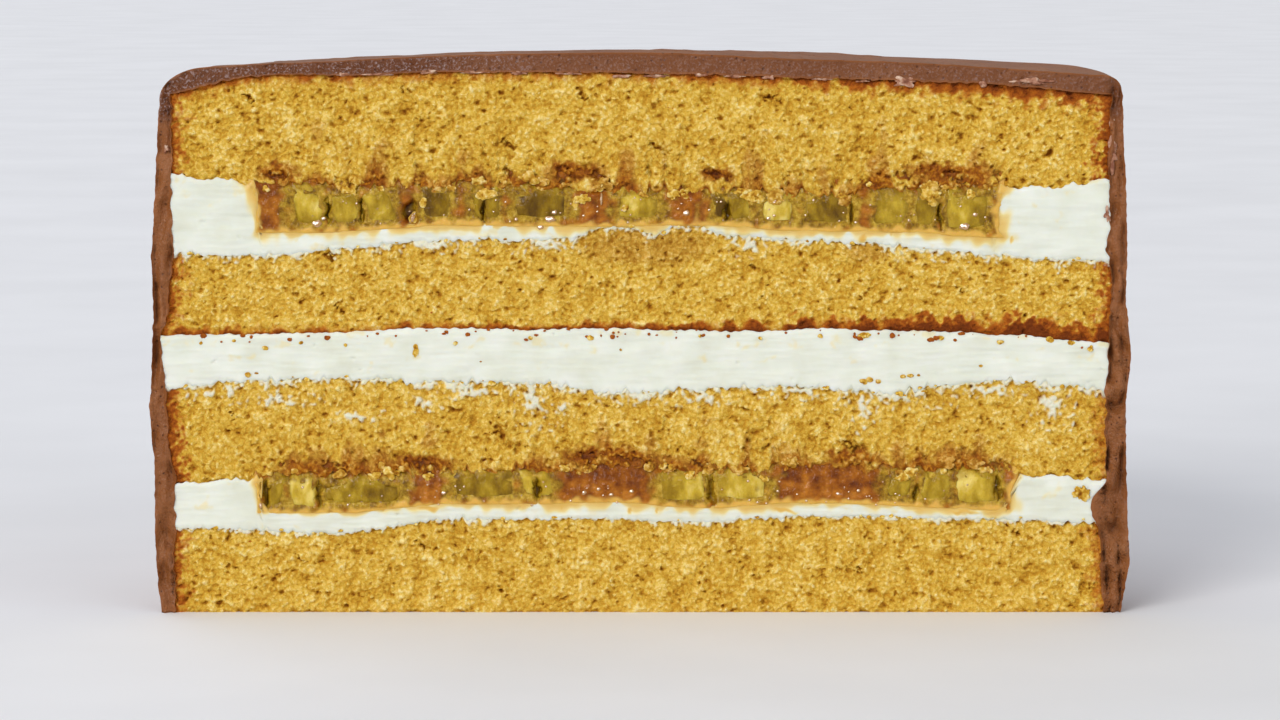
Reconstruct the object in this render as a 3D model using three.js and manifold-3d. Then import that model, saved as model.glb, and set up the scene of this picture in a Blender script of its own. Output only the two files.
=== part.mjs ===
// Half of a round caramel layer cake, standing on its base as it was cut.
// Four sponges carry two trays of cream filled with caramel and diced fruit, a thick seam of
// cream between the trays, and a chocolate icing over the top and down the round side.
// Millimetres, +Z up. The flat cut face looks to -Y and +X runs to its right.

import * as THREE from 'three';
import { mergeVertices } from 'three/addons/utils/BufferGeometryUtils.js';
import Module from 'manifold-3d';

const wasm = await Module();
wasm.setup();

const { lerp, smoothstep, clamp, seededRandom, degToRad } = THREE.MathUtils;

// Driving dimensions
const spongeRadius = 79;
const icingRadius = 82.3;
const clearGap = 0.3;
const crumbDepth = 0.7;
const cutBlendDepth = 25;
const overrun = 2;

// Heights of the seams between the layers at these places along the cut, left end to right end.
const seamStations = [-79, -66, -50, -34, -18, -4, 10, 26, 42, 60, 79];
const seamHeights = {
  sponge1Top: [14.6, 14.2, 13.6, 16.0, 16.0, 16.1, 15.6, 16.5, 16.4, 16.1, 15.3],
  lowerFloor: [17.3, 17.4, 17.4, 19.0, 19.0, 19.4, 18.2, 19.3, 18.9, 17.9, 17.8],
  sponge2Bottom: [21.9, 23.0, 22.8, 23.6, 23.8, 24.1, 23.6, 24.6, 24.2, 23.9, 22.6],
  sponge2Top: [38.4, 39.6, 40.1, 39.4, 39.3, 37.6, 38.3, 38.6, 37.7, 39.7, 38.1],
  sponge3Bottom: [47.2, 47.4, 47.9, 48.6, 48.3, 48.6, 48.0, 48.3, 48.3, 47.5, 46.0],
  sponge3Top: [61.2, 60.8, 62.1, 63.5, 63.5, 64.2, 64.6, 63.4, 62.7, 60.9, 59.8],
  upperFloor: [65.0, 65.2, 65.3, 66.4, 66.2, 66.2, 66.4, 65.4, 65.3, 64.1, 64.2],
  sponge4Bottom: [74.5, 73.3, 72.0, 72.5, 72.1, 71.5, 71.3, 71.0, 71.3, 72.1, 73.5],
  sponge4Top: [87.9, 91.0, 91.2, 91.7, 91.6, 91.6, 91.3, 90.8, 90.3, 89.6, 87.9],
  icingTop: [92.4, 93.0, 93.7, 94.5, 94.9, 95.0, 94.8, 94.0, 93.5, 92.5, 91.2],
};

// Distance from the middle to the sponges' edge at these heights, at each end of the cut.
const spongeSideHeights = [0, 9, 16, 23, 36, 50, 64, 77, 88];
const spongeSideLeft = [78.9, 79.6, 78.5, 79.0, 80.0, 80.5, 78.2, 79.2, 78.6];
const spongeSideRight = [78.8, 78.5, 77.6, 78.8, 78.4, 79.6, 78.9, 78.4, 79.0];

// Distance from the middle to the icing's outer face at these heights.
const icingSideHeights = [0, 4, 8, 16, 26, 35, 45, 52, 62, 72, 82, 90];
const icingSideLeft = [81.4, 82.0, 82.1, 82.3, 82.3, 83.0, 82.3, 82.1, 82.3, 81.6, 81.0, 80.6];
const icingSideRight = [81.7, 82.7, 83.2, 82.7, 82.4, 82.1, 83.0, 82.0, 82.1, 81.8, 81.2, 80.9];

// The icing's top edge is broadly rounded at the left end of the cut and tight at the right.
const topEdgeLeft = { width: 8, height: 5.4 };
const topEdgeRight = { width: 3, height: 2.6 };

// Slow waves that a spatula leaves round the side: how many round the cake, and how deep.
const spatulaWaves = [
  { count: 5, depth: 0.35, lean: 0.04 },
  { count: 13, depth: 0.2, lean: -0.09 },
];

// Round wells in the cream trays. The piped rim bulges into the well at its middle height.
const lowerWell = { centreX: -1, radius: 64.6, floorZ: 16, rimZ: 25.5 };
const upperWell = { centreX: -2.1, radius: 63.1, floorZ: 63, rimZ: 75 };
const rimBulge = { atFloor: -0.2, atMiddle: -0.9, atTop: 1.3 };

// Diced fruit along the cut, as the left and right side of each piece.
const lowerFruit = [
  [-64.0, -59.9], [-59.6, -55.2], [-54.6, -39.8], [-32.0, -20.7], [-20.2, -14.7],
  [2.9, 11.7], [12.3, 22.0], [41.3, 46.7], [47.3, 52.5], [53.1, 61.3],
];
const upperFruit = [
  [-59.0, -53.1], [-52.3, -47.4], [-46.7, -41.2], [-37.1, -31.4], [-28.7, -23.2],
  [-21.9, -11.6], [-4.4, 3.9], [11.9, 19.2], [19.8, 26.5], [27.0, 35.8],
  [39.3, 45.2], [45.7, 50.2], [50.8, 59.2],
];
const fruitDepth = { least: 5, most: 8.5 };
const fruitCorner = 0.6;
const fruitTilt = 9;
const fruitSetBack = 0.2;
const fruitOverfill = 1.04;
const fruitSegments = { around: 8, down: 6 };

// Grid of the half rounds: columns along the cut and rows from the cut to the round side.
const seamColumns = 36;
const seamRows = 2;
const icingColumns = 38;
const icingRows = 5;
const icingLevels = 10;
const drumColumns = 30;
const icingCrowding = 0.6;
const icingRimPower = 2;
const endFacet = degToRad(3);
const tolerance = 1e-6;
const weldDistance = 1e-3;

// Finishes
const golden = new THREE.MeshStandardMaterial({ color: '#c9993f', roughness: 0.95, metalness: 0 });
const ivory = new THREE.MeshStandardMaterial({ color: '#f1efe4', roughness: 0.55, metalness: 0 });
const amber = new THREE.MeshStandardMaterial({ color: '#8c4a1b', roughness: 0.2, metalness: 0 });
const olive = new THREE.MeshStandardMaterial({ color: '#8e8a35', roughness: 0.25, metalness: 0 });
const cocoa = new THREE.MeshStandardMaterial({ color: '#6f4334', roughness: 0.5, metalness: 0 });

// Smooth line through values at rising places, held level beyond both ends.
function lineThrough(places, values) {
  const line = new THREE.CubicInterpolant(places, values, 1);
  return (at) => line.evaluate(clamp(at, places[0], places.at(-1)))[0];
}

// A seam follows its own line at the cut and turns into a round shape behind it.
function seamSurface(heights) {
  const line = lineThrough(seamStations, heights);
  return (x, y) => {
    const radius = Math.hypot(x, y);
    const turned = (line(-radius) + line(radius)) / 2;
    return lerp(line(x), turned, smoothstep(y, 0, cutBlendDepth));
  };
}

const seams = {};
for (const [name, heights] of Object.entries(seamHeights)) {
  seams[name] = seamSurface(heights);
}

function shifted(surface, by) {
  return (x, y) => surface(x, y) + by;
}

// How far an angle has turned from the right end of the cut (0) to the left end (1).
function leftShare(angle) {
  return (1 - Math.cos(angle)) / 2;
}

// Side outline that passes from its right line to its left line round the back.
function sideOutline(heights, left, right) {
  const leftLine = lineThrough(heights, left);
  const rightLine = lineThrough(heights, right);
  return (angle, z) => lerp(rightLine(z), leftLine(z), leftShare(angle));
}

const spongeSide = sideOutline(spongeSideHeights, spongeSideLeft, spongeSideRight);
const plainIcingSide = sideOutline(icingSideHeights, icingSideLeft, icingSideRight);

function icingSide(angle, z) {
  const fade = Math.sin(angle) ** 2;
  let waves = 0;
  for (const wave of spatulaWaves) {
    waves += wave.depth * Math.sin(wave.count * angle + wave.lean * z);
  }
  return plainIcingSide(angle, z) + fade * waves;
}

function icingTop(x, y) {
  const inward = Math.max(icingRadius - Math.hypot(x, y), 0);
  const share = leftShare(Math.atan2(y, x));
  const width = lerp(topEdgeRight.width, topEdgeLeft.width, share);
  const height = lerp(topEdgeRight.height, topEdgeLeft.height, share);
  const rise = 1 - Math.min(inward / width, 1);
  return seams.icingTop(x, y) - height * (1 - Math.sqrt(1 - rise * rise));
}

// A box's underside is split along other diagonals than its top. They are made alike, so that
// a layer's underside fits the top of the layer below it.
function matchDiagonals(geometry) {
  const index = geometry.index;
  const underside = geometry.groups.at(-1);
  for (let i = underside.start; i < underside.start + underside.count; i += 6) {
    const corner = index.getX(i + 4);
    index.setX(i + 2, corner);
    index.setX(i + 3, index.getX(i));
  }
}

// Solid half round through a stack of surfaces. Its front lies on the cut, and its back
// follows the side outline. Crowding draws the columns towards both ends of the cut, and a
// rim power over 1 draws the rows towards the round side. A front that is set forward
// reaches past the cut, and a rough one has crags as deep as its roughness.
function halfRound({
  surfaces, side, planRadius = spongeRadius, levelsEach = 1, columns = seamColumns, rows = seamRows,
  crowding = 0, rimPower = 1, setForward = 0, roughness = 0,
}) {
  const box = new THREE.BoxGeometry(2, 1, 1, columns, rows, levelsEach * (surfaces.length - 1));
  box.deleteAttribute('normal');
  box.deleteAttribute('uv');
  const geometry = mergeVertices(box);
  matchDiagonals(geometry);
  const position = geometry.attributes.position;
  for (let i = 0; i < position.count; i += 1) {
    const step = position.getX(i);
    const across = lerp(step, Math.sin(step * Math.PI / 2), crowding);
    const back = 1 - (0.5 - position.getY(i)) ** rimPower;
    const turn = across * (Math.PI / 2 - endFacet);
    const planX = lerp(across, Math.sin(turn), back);
    const planY = lerp(0, Math.cos(turn), back);
    const angle = Math.atan2(planY, planX);

    const level = (position.getZ(i) + 0.5) * (surfaces.length - 1);
    const lower = Math.min(Math.floor(level + tolerance), surfaces.length - 2);
    const share = clamp(level - lower, 0, 1);
    const lowZ = surfaces[lower](planX * planRadius, planY * planRadius);
    const highZ = surfaces[lower + 1](planX * planRadius, planY * planRadius);
    const radius = lerp(side(angle, lowZ), side(angle, highZ), share);

    const isFront = back < tolerance;
    const frontY = roughness * seededRandom() - setForward;
    position.setXYZ(i, planX * radius, isFront ? frontY : planY * radius, lerp(lowZ, highZ, share));
  }
  return geometry;
}

function solidFrom(geometry) {
  return new wasm.Manifold(new wasm.Mesh({
    numProp: 3,
    vertProperties: new Float32Array(geometry.attributes.position.array),
    triVerts: new Uint32Array(geometry.index.array),
  }));
}

// The largest body of a solid, without loose scraps.
function geometryFrom(solid) {
  const bodies = solid.decompose();
  bodies.sort((a, b) => b.volume() - a.volume());
  const mesh = bodies[0].getMesh();
  const geometry = new THREE.BufferGeometry();
  geometry.setAttribute('position', new THREE.BufferAttribute(mesh.vertProperties, 3));
  geometry.setIndex(new THREE.BufferAttribute(mesh.triVerts, 1));
  return geometry;
}

function named(name, geometry, material) {
  geometry.computeVertexNormals();
  const mesh = new THREE.Mesh(geometry, material);
  mesh.name = name;
  return mesh;
}

// A layer between two seams, half the clear gap inside each of them.
function layer(low, high, roughness = 0) {
  return halfRound({
    surfaces: [shifted(low, clearGap / 2), shifted(high, -clearGap / 2)],
    side: spongeSide,
    levelsEach: 2,
    roughness,
  });
}

// Turned drum that a well is cut with, smaller by the margin given.
function wellDrum(well, margin) {
  const middleZ = (well.floorZ + well.rimZ) / 2;
  const profile = [
    new THREE.Vector2(0, well.floorZ),
    new THREE.Vector2(well.radius + rimBulge.atFloor - margin, well.floorZ),
    new THREE.Vector2(well.radius + rimBulge.atMiddle - margin, middleZ),
    new THREE.Vector2(well.radius + rimBulge.atTop - margin, well.rimZ),
    new THREE.Vector2(0, well.rimZ),
  ];
  const drum = new THREE.LatheGeometry(profile, drumColumns);
  drum.deleteAttribute('normal');
  drum.deleteAttribute('uv');
  drum.rotateX(Math.PI / 2);
  drum.translate(well.centreX, 0, 0);
  return solidFrom(mergeVertices(drum, weldDistance));
}

// Space of a filling: between a tray's floor and the sponge above, inside its piped rim.
function fillingSpace(well, floor, ceiling, margin, reach) {
  const stack = solidFrom(halfRound({
    surfaces: [shifted(floor, margin), shifted(ceiling, reach - clearGap / 2)],
    side: spongeSide,
    setForward: reach,
  }));
  return stack.intersect(wellDrum(well, margin));
}

function creamTray(name, low, floor, ceiling, well) {
  const tray = solidFrom(layer(low, ceiling)).subtract(fillingSpace(well, floor, ceiling, 0, overrun));
  return named(name, geometryFrom(tray), ivory);
}

// A diced piece of fruit with soft corners, sliced by the cut near its middle.
function fruitPiece([left, right], floor, ceiling, draw, margin) {
  const centreX = (left + right) / 2;
  const lowZ = floor(centreX, 0) + clearGap;
  const highZ = ceiling(centreX, 0) - clearGap;
  const corner = (part) => Math.sign(part) * Math.abs(part) ** fruitCorner;
  const ball = new THREE.SphereGeometry(1, fruitSegments.around, fruitSegments.down);
  ball.deleteAttribute('normal');
  ball.deleteAttribute('uv');
  const position = ball.attributes.position;
  for (let i = 0; i < position.count; i += 1) {
    position.setXYZ(i, corner(position.getX(i)), corner(position.getY(i)), corner(position.getZ(i)));
  }
  const halfHeight = fruitOverfill * (highZ - lowZ) / 2;
  ball.scale((right - left) / 2 + margin, draw.depth / 2 + margin, halfHeight + margin);
  ball.rotateY(draw.tilt);
  ball.translate(centreX, draw.depth * fruitSetBack, (lowZ + highZ) / 2);
  return solidFrom(mergeVertices(ball, weldDistance));
}

// Caramel and its fruit. The caramel keeps a clear gap round each piece.
function filling(prefix, well, floor, ceiling, pieces, seed) {
  const meshes = [];
  const space = fillingSpace(well, floor, ceiling, clearGap, 0);
  let caramel = space;
  seededRandom(seed);
  pieces.forEach((piece, index) => {
    const draw = {
      depth: lerp(fruitDepth.least, fruitDepth.most, seededRandom()),
      tilt: degToRad(fruitTilt) * (2 * seededRandom() - 1),
    };
    const fruit = fruitPiece(piece, floor, ceiling, draw, 0).intersect(space);
    caramel = caramel.subtract(fruitPiece(piece, floor, ceiling, draw, clearGap));
    meshes.push(named(`fruit_${prefix}_${index + 1}`, geometryFrom(fruit), olive));
  });
  meshes.push(named(`caramel_${prefix}`, geometryFrom(caramel), amber));
  return meshes;
}

// Icing shell: the iced outline less the stack of layers inside it.
function icingShell() {
  const levels = [];
  for (let level = 0; level <= icingLevels; level += 1) {
    levels.push((x, y) => icingTop(x, y) * level / icingLevels);
  }
  const outside = halfRound({
    surfaces: levels,
    side: icingSide,
    planRadius: icingRadius,
    columns: icingColumns,
    rows: icingRows,
    crowding: icingCrowding,
    rimPower: icingRimPower,
  });
  const stack = halfRound({
    surfaces: [
      () => -overrun,
      seams.sponge1Top,
      seams.sponge2Bottom,
      seams.sponge2Top,
      seams.sponge3Bottom,
      seams.sponge3Top,
      seams.sponge4Bottom,
      shifted(seams.sponge4Top, clearGap / 2),
    ],
    side: (angle, z) => spongeSide(angle, z) + clearGap,
    setForward: overrun,
  });
  return named('icing', geometryFrom(solidFrom(outside).subtract(solidFrom(stack))), cocoa);
}

// Half a clear gap below the table, so that the lowest sponge stands on it.
const tableTop = () => -clearGap / 2;
const crumbSeed = 11;
const lowerFruitSeed = 21;
const upperFruitSeed = 34;

const layers = new THREE.Group();
seededRandom(crumbSeed);
layers.add(named('sponge_1', layer(tableTop, seams.sponge1Top, crumbDepth), golden));
layers.add(named('sponge_2', layer(seams.sponge2Bottom, seams.sponge2Top, crumbDepth), golden));
layers.add(named('sponge_3', layer(seams.sponge3Bottom, seams.sponge3Top, crumbDepth), golden));
layers.add(named('sponge_4', layer(seams.sponge4Bottom, seams.sponge4Top, crumbDepth), golden));
layers.add(named('cream_middle', layer(seams.sponge2Top, seams.sponge3Bottom), ivory));
layers.add(creamTray('cream_lower', seams.sponge1Top, seams.lowerFloor, seams.sponge2Bottom, lowerWell));
layers.add(creamTray('cream_upper', seams.sponge3Top, seams.upperFloor, seams.sponge4Bottom, upperWell));

const fillings = new THREE.Group();
fillings.add(
  ...filling('lower', lowerWell, seams.lowerFloor, seams.sponge2Bottom, lowerFruit, lowerFruitSeed),
  ...filling('upper', upperWell, seams.upperFloor, seams.sponge4Bottom, upperFruit, upperFruitSeed),
);

// The finished half stands on z = 0 with the middle of its box over the origin.
const cake = new THREE.Group();
cake.add(layers, fillings, icingShell());
const middle = new THREE.Box3().setFromObject(cake).getCenter(new THREE.Vector3());
cake.position.set(-middle.x, -middle.y, 0);

export default cake;
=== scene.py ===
import math
import random

import bmesh
import bpy
from mathutils import Matrix, Vector, noise
from mathutils.bvhtree import BVHTree


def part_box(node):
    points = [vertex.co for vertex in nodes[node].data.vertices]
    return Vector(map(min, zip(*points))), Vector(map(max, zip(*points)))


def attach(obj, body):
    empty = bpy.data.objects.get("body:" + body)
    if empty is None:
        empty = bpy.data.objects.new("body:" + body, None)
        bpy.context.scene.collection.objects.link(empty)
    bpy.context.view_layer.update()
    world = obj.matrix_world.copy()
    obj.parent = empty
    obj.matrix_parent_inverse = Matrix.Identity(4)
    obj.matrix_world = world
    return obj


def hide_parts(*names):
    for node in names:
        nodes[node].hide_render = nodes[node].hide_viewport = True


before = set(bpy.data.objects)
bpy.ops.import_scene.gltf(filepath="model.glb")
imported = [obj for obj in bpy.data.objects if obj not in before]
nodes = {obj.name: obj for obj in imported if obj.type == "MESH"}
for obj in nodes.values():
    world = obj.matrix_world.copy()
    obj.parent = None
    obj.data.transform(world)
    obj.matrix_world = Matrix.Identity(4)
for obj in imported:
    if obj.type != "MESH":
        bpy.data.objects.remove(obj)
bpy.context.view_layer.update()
mm = 0.001
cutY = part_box("icing")[0].y
print("frame loaded:", len(nodes), "nodes, cut at y =", round(cutY, 5))


# Small helpers

def clamp(value, low=0.0, high=1.0):
    return max(low, min(high, value))


def mix(a, b, share):
    return a + (b - a) * share


def smooth(value):
    value = clamp(value)
    return value * value * (3 - 2 * value)


def lump(x, y, z, size, seed=0.0):
    return noise.noise(Vector((x / size + seed, y / size - seed, z / size + 0.37 * seed)))


def toLinear(code):
    parts = [int(code[i:i + 2], 16) / 255 for i in (1, 3, 5)]
    return tuple(p / 12.92 if p <= 0.04045 else ((p + 0.055) / 1.055) ** 2.4 for p in parts) + (1.0,)


def addNode(tree, kind, settings=None, links=None):
    # settings holds properties, socket values and the stops of a ramp; links goes from socket to source
    node = tree.nodes.new(kind)
    for name, value in (settings or {}).items():
        if name == "stops":
            ramp = node.color_ramp
            while len(ramp.elements) < len(value):
                ramp.elements.new(0.5)
            for element, (place, colour) in zip(ramp.elements, value):
                element.position = place
                element.color = toLinear(colour)
        elif isinstance(name, str) and hasattr(node, name):
            setattr(node, name, value)
        else:
            node.inputs[name].default_value = value
    for socket, source in (links or {}).items():
        tree.links.new(source, node.inputs[socket])
    return node


def startMaterial(name):
    material = bpy.data.materials.new(name)
    material.use_nodes = True
    tree = material.node_tree
    tree.nodes.clear()
    place = addNode(tree, "ShaderNodeTexCoord").outputs["Object"]
    return material, tree, place


def endMaterial(tree, shader):
    addNode(tree, "ShaderNodeOutputMaterial", {}, {"Surface": shader.outputs["BSDF"]})


surfaces = {}


def finishPiece(bm, name, material, replaced=None):
    surfaces[name] = BVHTree.FromBMesh(bm)
    mesh = bpy.data.meshes.new(name)
    for face in bm.faces:
        face.smooth = True
    bm.to_mesh(mesh)
    bm.free()
    piece = bpy.data.objects.new(name, mesh)
    bpy.context.scene.collection.objects.link(piece)
    mesh.materials.append(material)
    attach(piece, "root")
    if replaced:
        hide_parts(replaced)
    return piece


# Lines of the cut, read from the CAD solids by casting rays just behind their cut faces

depsgraph = bpy.context.evaluated_depsgraph_get()
solids = {name: BVHTree.FromObject(node, depsgraph) for name, node in nodes.items()}
halfGap = 0.15 * mm
behindCut = 0.75 * mm
stationStep = 0.25 * mm
stationStart = -81 * mm
stationCount = 649


def castOn(name, start, direction):
    return solids[name].ray_cast(Vector(start), Vector(direction))[0]


def heldLine(values):
    # gaps in a row of values are filled from the nearest one
    known = [i for i, value in enumerate(values) if value is not None]
    line = []
    for i, value in enumerate(values):
        nearest = min(known, key=lambda k: abs(k - i)) if value is None else i
        line.append(values[nearest])
    return line


def readSeam(name, side):
    heights = []
    for i in range(stationCount):
        x = stationStart + i * stationStep
        hit = castOn(name, (x, cutY + behindCut, side), (0, 0, -side))
        heights.append(hit.z if hit else None)
    # a jump near an end means that the ray went past the flat of the seam
    fromEnd = 46
    for way in (range(fromEnd, -1, -1), range(stationCount - fromEnd, stationCount)):
        last = heights[way[0]]
        for i in way:
            if heights[i] is None or abs(heights[i] - last) > 0.5 * mm:
                heights[i] = None
            else:
                last = heights[i]
    return heldLine(heights)


def onLine(line, start, step, at):
    place = clamp((at - start) / step, 0, len(line) - 1.001)
    index = int(place)
    return mix(line[index], line[index + 1], place - index)


seamLines = {
    "sponge1Top": readSeam("sponge_1", 1), "lowerTray": readSeam("cream_lower", 1),
    "sponge2Bottom": readSeam("sponge_2", -1), "sponge2Top": readSeam("sponge_2", 1),
    "sponge3Bottom": readSeam("sponge_3", -1), "sponge3Top": readSeam("sponge_3", 1),
    "upperTray": readSeam("cream_upper", 1), "sponge4Bottom": readSeam("sponge_4", -1),
    "sponge4Top": readSeam("sponge_4", 1),
}

# How ragged each seam is: slow swing and its length, torn edge and its length.
seamWear = {
    "sponge1Top": {"swing": 0.3, "swingLength": 5, "tear": 0.6, "tearLength": 0.9, "seed": 3},
    "lowerTray": {"swing": 0.15, "swingLength": 4, "tear": 0.12, "tearLength": 1.5, "seed": 9},
    "sponge2Bottom": {"swing": 4.2, "swingLength": 3.6, "tear": 1.9, "tearLength": 1.4, "seed": 14},
    "sponge2Top": {"swing": 0.7, "swingLength": 4, "tear": 0.95, "tearLength": 1.0, "seed": 22},
    "sponge3Bottom": {"swing": 0.25, "swingLength": 6, "tear": 0.3, "tearLength": 1.0, "seed": 31},
    "sponge3Top": {"swing": 0.45, "swingLength": 4, "tear": 0.75, "tearLength": 1.0, "seed": 38,
                   "thinCream": [(-4.5, 7.0), (8.2, 5.5)]},
    "upperTray": {"swing": 0.15, "swingLength": 5, "tear": 0.12, "tearLength": 1.6, "seed": 45},
    "sponge4Bottom": {"swing": 5.0, "swingLength": 3.8, "tear": 2.0, "tearLength": 1.4, "seed": 52},
    "sponge4Top": {"swing": 0.25, "swingLength": 7, "tear": 0.3, "tearLength": 1.2, "seed": 60},
}


def seamZ(name, x):
    wear = seamWear[name]
    side = -1 if name.endswith("Bottom") else 1
    z = onLine(seamLines[name], stationStart, stationStep, x) + side * halfGap
    slow = lump(x, 0, 0, wear["swingLength"] * mm, wear["seed"])
    quick = lump(x, 0, 0, wear["tearLength"] * mm, wear["seed"] + 5)
    if wear["swing"] > 1:
        # rounded flakes hang over the filling, but not over the dams at its ends
        hanging = 1.5 - wear["swing"] * abs(slow) - wear["tear"] * abs(quick)
        return z + mm * hanging * mix(1, 0.3, smooth((abs(x) / mm - 60) / 4))
    thin = max([smooth(1.4 - 1.4 * abs(x / mm - spot) / reach) for spot, reach in wear.get("thinCream", [])] or [0])
    z = mix(z, onLine(seamLines["upperTray"], stationStart, stationStep, x), 0.72 * thin)
    return z + mm * (wear["swing"] * slow + wear["tear"] * quick) * (1 - 0.6 * thin)


def sideLine(name, fromInside):
    # distance from the middle to a wall of the icing at each height, left end and right end
    lines = {}
    for side in (-1, 1):
        start = 0 if fromInside else side
        way = side if fromInside else -side
        values = []
        for i in range(96):
            hit = castOn(name, (start, cutY + behindCut, i * mm), (way, 0, 0))
            values.append(hit.x * side if hit and hit.x * side > 76.5 * mm else None)
        lines[side] = heldLine(values)
    return lines


innerWall = sideLine("icing", True)
outerWall = sideLine("icing", False)
wallWear = {"swing": 0.45, "swingLength": 4, "tear": 0.4, "tearLength": 1.2}
# Where the icing bulges in between the layers: height, reach and depth, for each end.
wallBulges = {-1: [(78.0, 3.0, 0.5), (22.0, 4.0, 0.6), (52.0, 3.5, 0.4)],
              1: [(18.5, 3.4, 1.7), (46.0, 3.0, 0.5), (62.0, 3.0, 0.5)]}


def stackEnd(side, z):
    # where the layers meet the icing at the cut
    x = onLine(innerWall[side], 0, mm, z) - halfGap
    x += wallWear["swing"] * mm * lump(z, 0, 0, wallWear["swingLength"] * mm, 70 + side)
    x -= mm * sum(depth * smooth(1.2 - abs(z / mm - place) / reach) for place, reach, depth in wallBulges[side])
    return side * (x + wallWear["tear"] * mm * lump(z, 0, 0, wallWear["tearLength"] * mm, 75 + side))


def wellWalls(name):
    # where the well's walls stand at each height, in the solid; a nearer hit is its sloping floor
    lines = {}
    for side in (-1, 1):
        values = []
        for i in range(96):
            hit = castOn(name, (0, cutY + behindCut, i * mm), (side, 0, 0))
            values.append(hit.x if hit and 59 * mm < hit.x * side < 70 * mm else None)
        lines[side] = heldLine(values)
    return lines


wells = {name: wellWalls(name) for name in ("cream_lower", "cream_upper")}
cornerRound = 1.8


def trayTop(tray, ceiling, solid):
    # top line of a cream tray: its floor, its piped rims, and the sponge above them
    left, right = wells[solid][-1][20], wells[solid][1][20]

    def top(x):
        inside = min(x - left, right - x) / mm
        lift = cornerRound * mm * (1 - smooth(inside / cornerRound / 1.5)) ** 2
        raw = onLine(seamLines[tray], stationStart, stationStep, x)
        limit = onLine(seamLines[ceiling], stationStart, stationStep, x)
        share = smooth((limit - raw) / mm - 0.5)
        return mix(seamZ(ceiling, x), seamZ(tray, x) - halfGap + lift, share)
    return top


lowerTrayTop = trayTop("lowerTray", "sponge2Bottom", "cream_lower")
upperTrayTop = trayTop("upperTray", "sponge4Bottom", "cream_upper")
print("seams read from the solids")


# Shared shapes

def frontSlab(low, high, ends, cell, thickness, marks):
    # upright grid over a cut face, with walls and a back that reach a little way into the cake
    bm = bmesh.new()
    layers = {mark: bm.verts.layers.float.new(mark) for mark in marks}
    left, right = ends(high(0))
    columns = round((right - left) / cell)
    rows = max(4, round(max(high(x * mm) - low(x * mm) for x in range(-70, 71, 7)) / cell))
    front = bmesh.ops.create_grid(bm, x_segments=columns, y_segments=rows, size=0.5)["verts"]
    for vert in front:
        across, up = vert.co.x + 0.5, vert.co.y + 0.5
        x = mix(left, right, across)
        for i in range(3):
            z = mix(low(x), high(x), up)
            x = mix(*ends(z), across)
        vert.co = (x, cutY, z)
    rim = [edge for edge in bm.edges if edge.is_boundary]
    for edge in rim:
        edge.smooth = False
    walls = bmesh.ops.extrude_edge_only(bm, edges=rim)["geom"]
    for vert in walls:
        if isinstance(vert, bmesh.types.BMVert):
            vert.co.y = cutY + thickness
    back = [edge for edge in walls if isinstance(edge, bmesh.types.BMEdge) and edge.is_boundary]
    bmesh.ops.edgeloop_fill(bm, edges=back)
    bmesh.ops.recalc_face_normals(bm, faces=bm.faces)
    return bm, front, layers


def addBody(bm, name, behind):
    # the solid behind the slab: a merged copy of the CAD node, cut off where the slab ends
    body = bmesh.new()
    body.from_mesh(nodes[name].data)
    bmesh.ops.remove_doubles(body, verts=body.verts, dist=0.01 * mm)
    bmesh.ops.bisect_plane(body, geom=body.verts[:] + body.edges[:] + body.faces[:], clear_inner=True,
                           plane_co=(0, cutY + behind, 0), plane_no=(0, 1, 0))
    bmesh.ops.holes_fill(body, edges=[edge for edge in body.edges if edge.is_boundary], sides=0)
    bmesh.ops.recalc_face_normals(body, faces=body.faces)
    mesh = bpy.data.meshes.new("body")
    body.to_mesh(mesh)
    body.free()
    bm.from_mesh(mesh)
    bpy.data.meshes.remove(mesh)


def inSpot(spot, x, z, wobble):
    # 1 in the middle of an oval spot (x, z, width, height in mm), 0 outside it
    dx = (x / mm - spot[0] + wobble) / (spot[2] / 2)
    dz = (z / mm - spot[1] - wobble) / (spot[3] / 2)
    return clamp(1 - math.sqrt(dx * dx + dz * dz))


# Butter sponge

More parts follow.
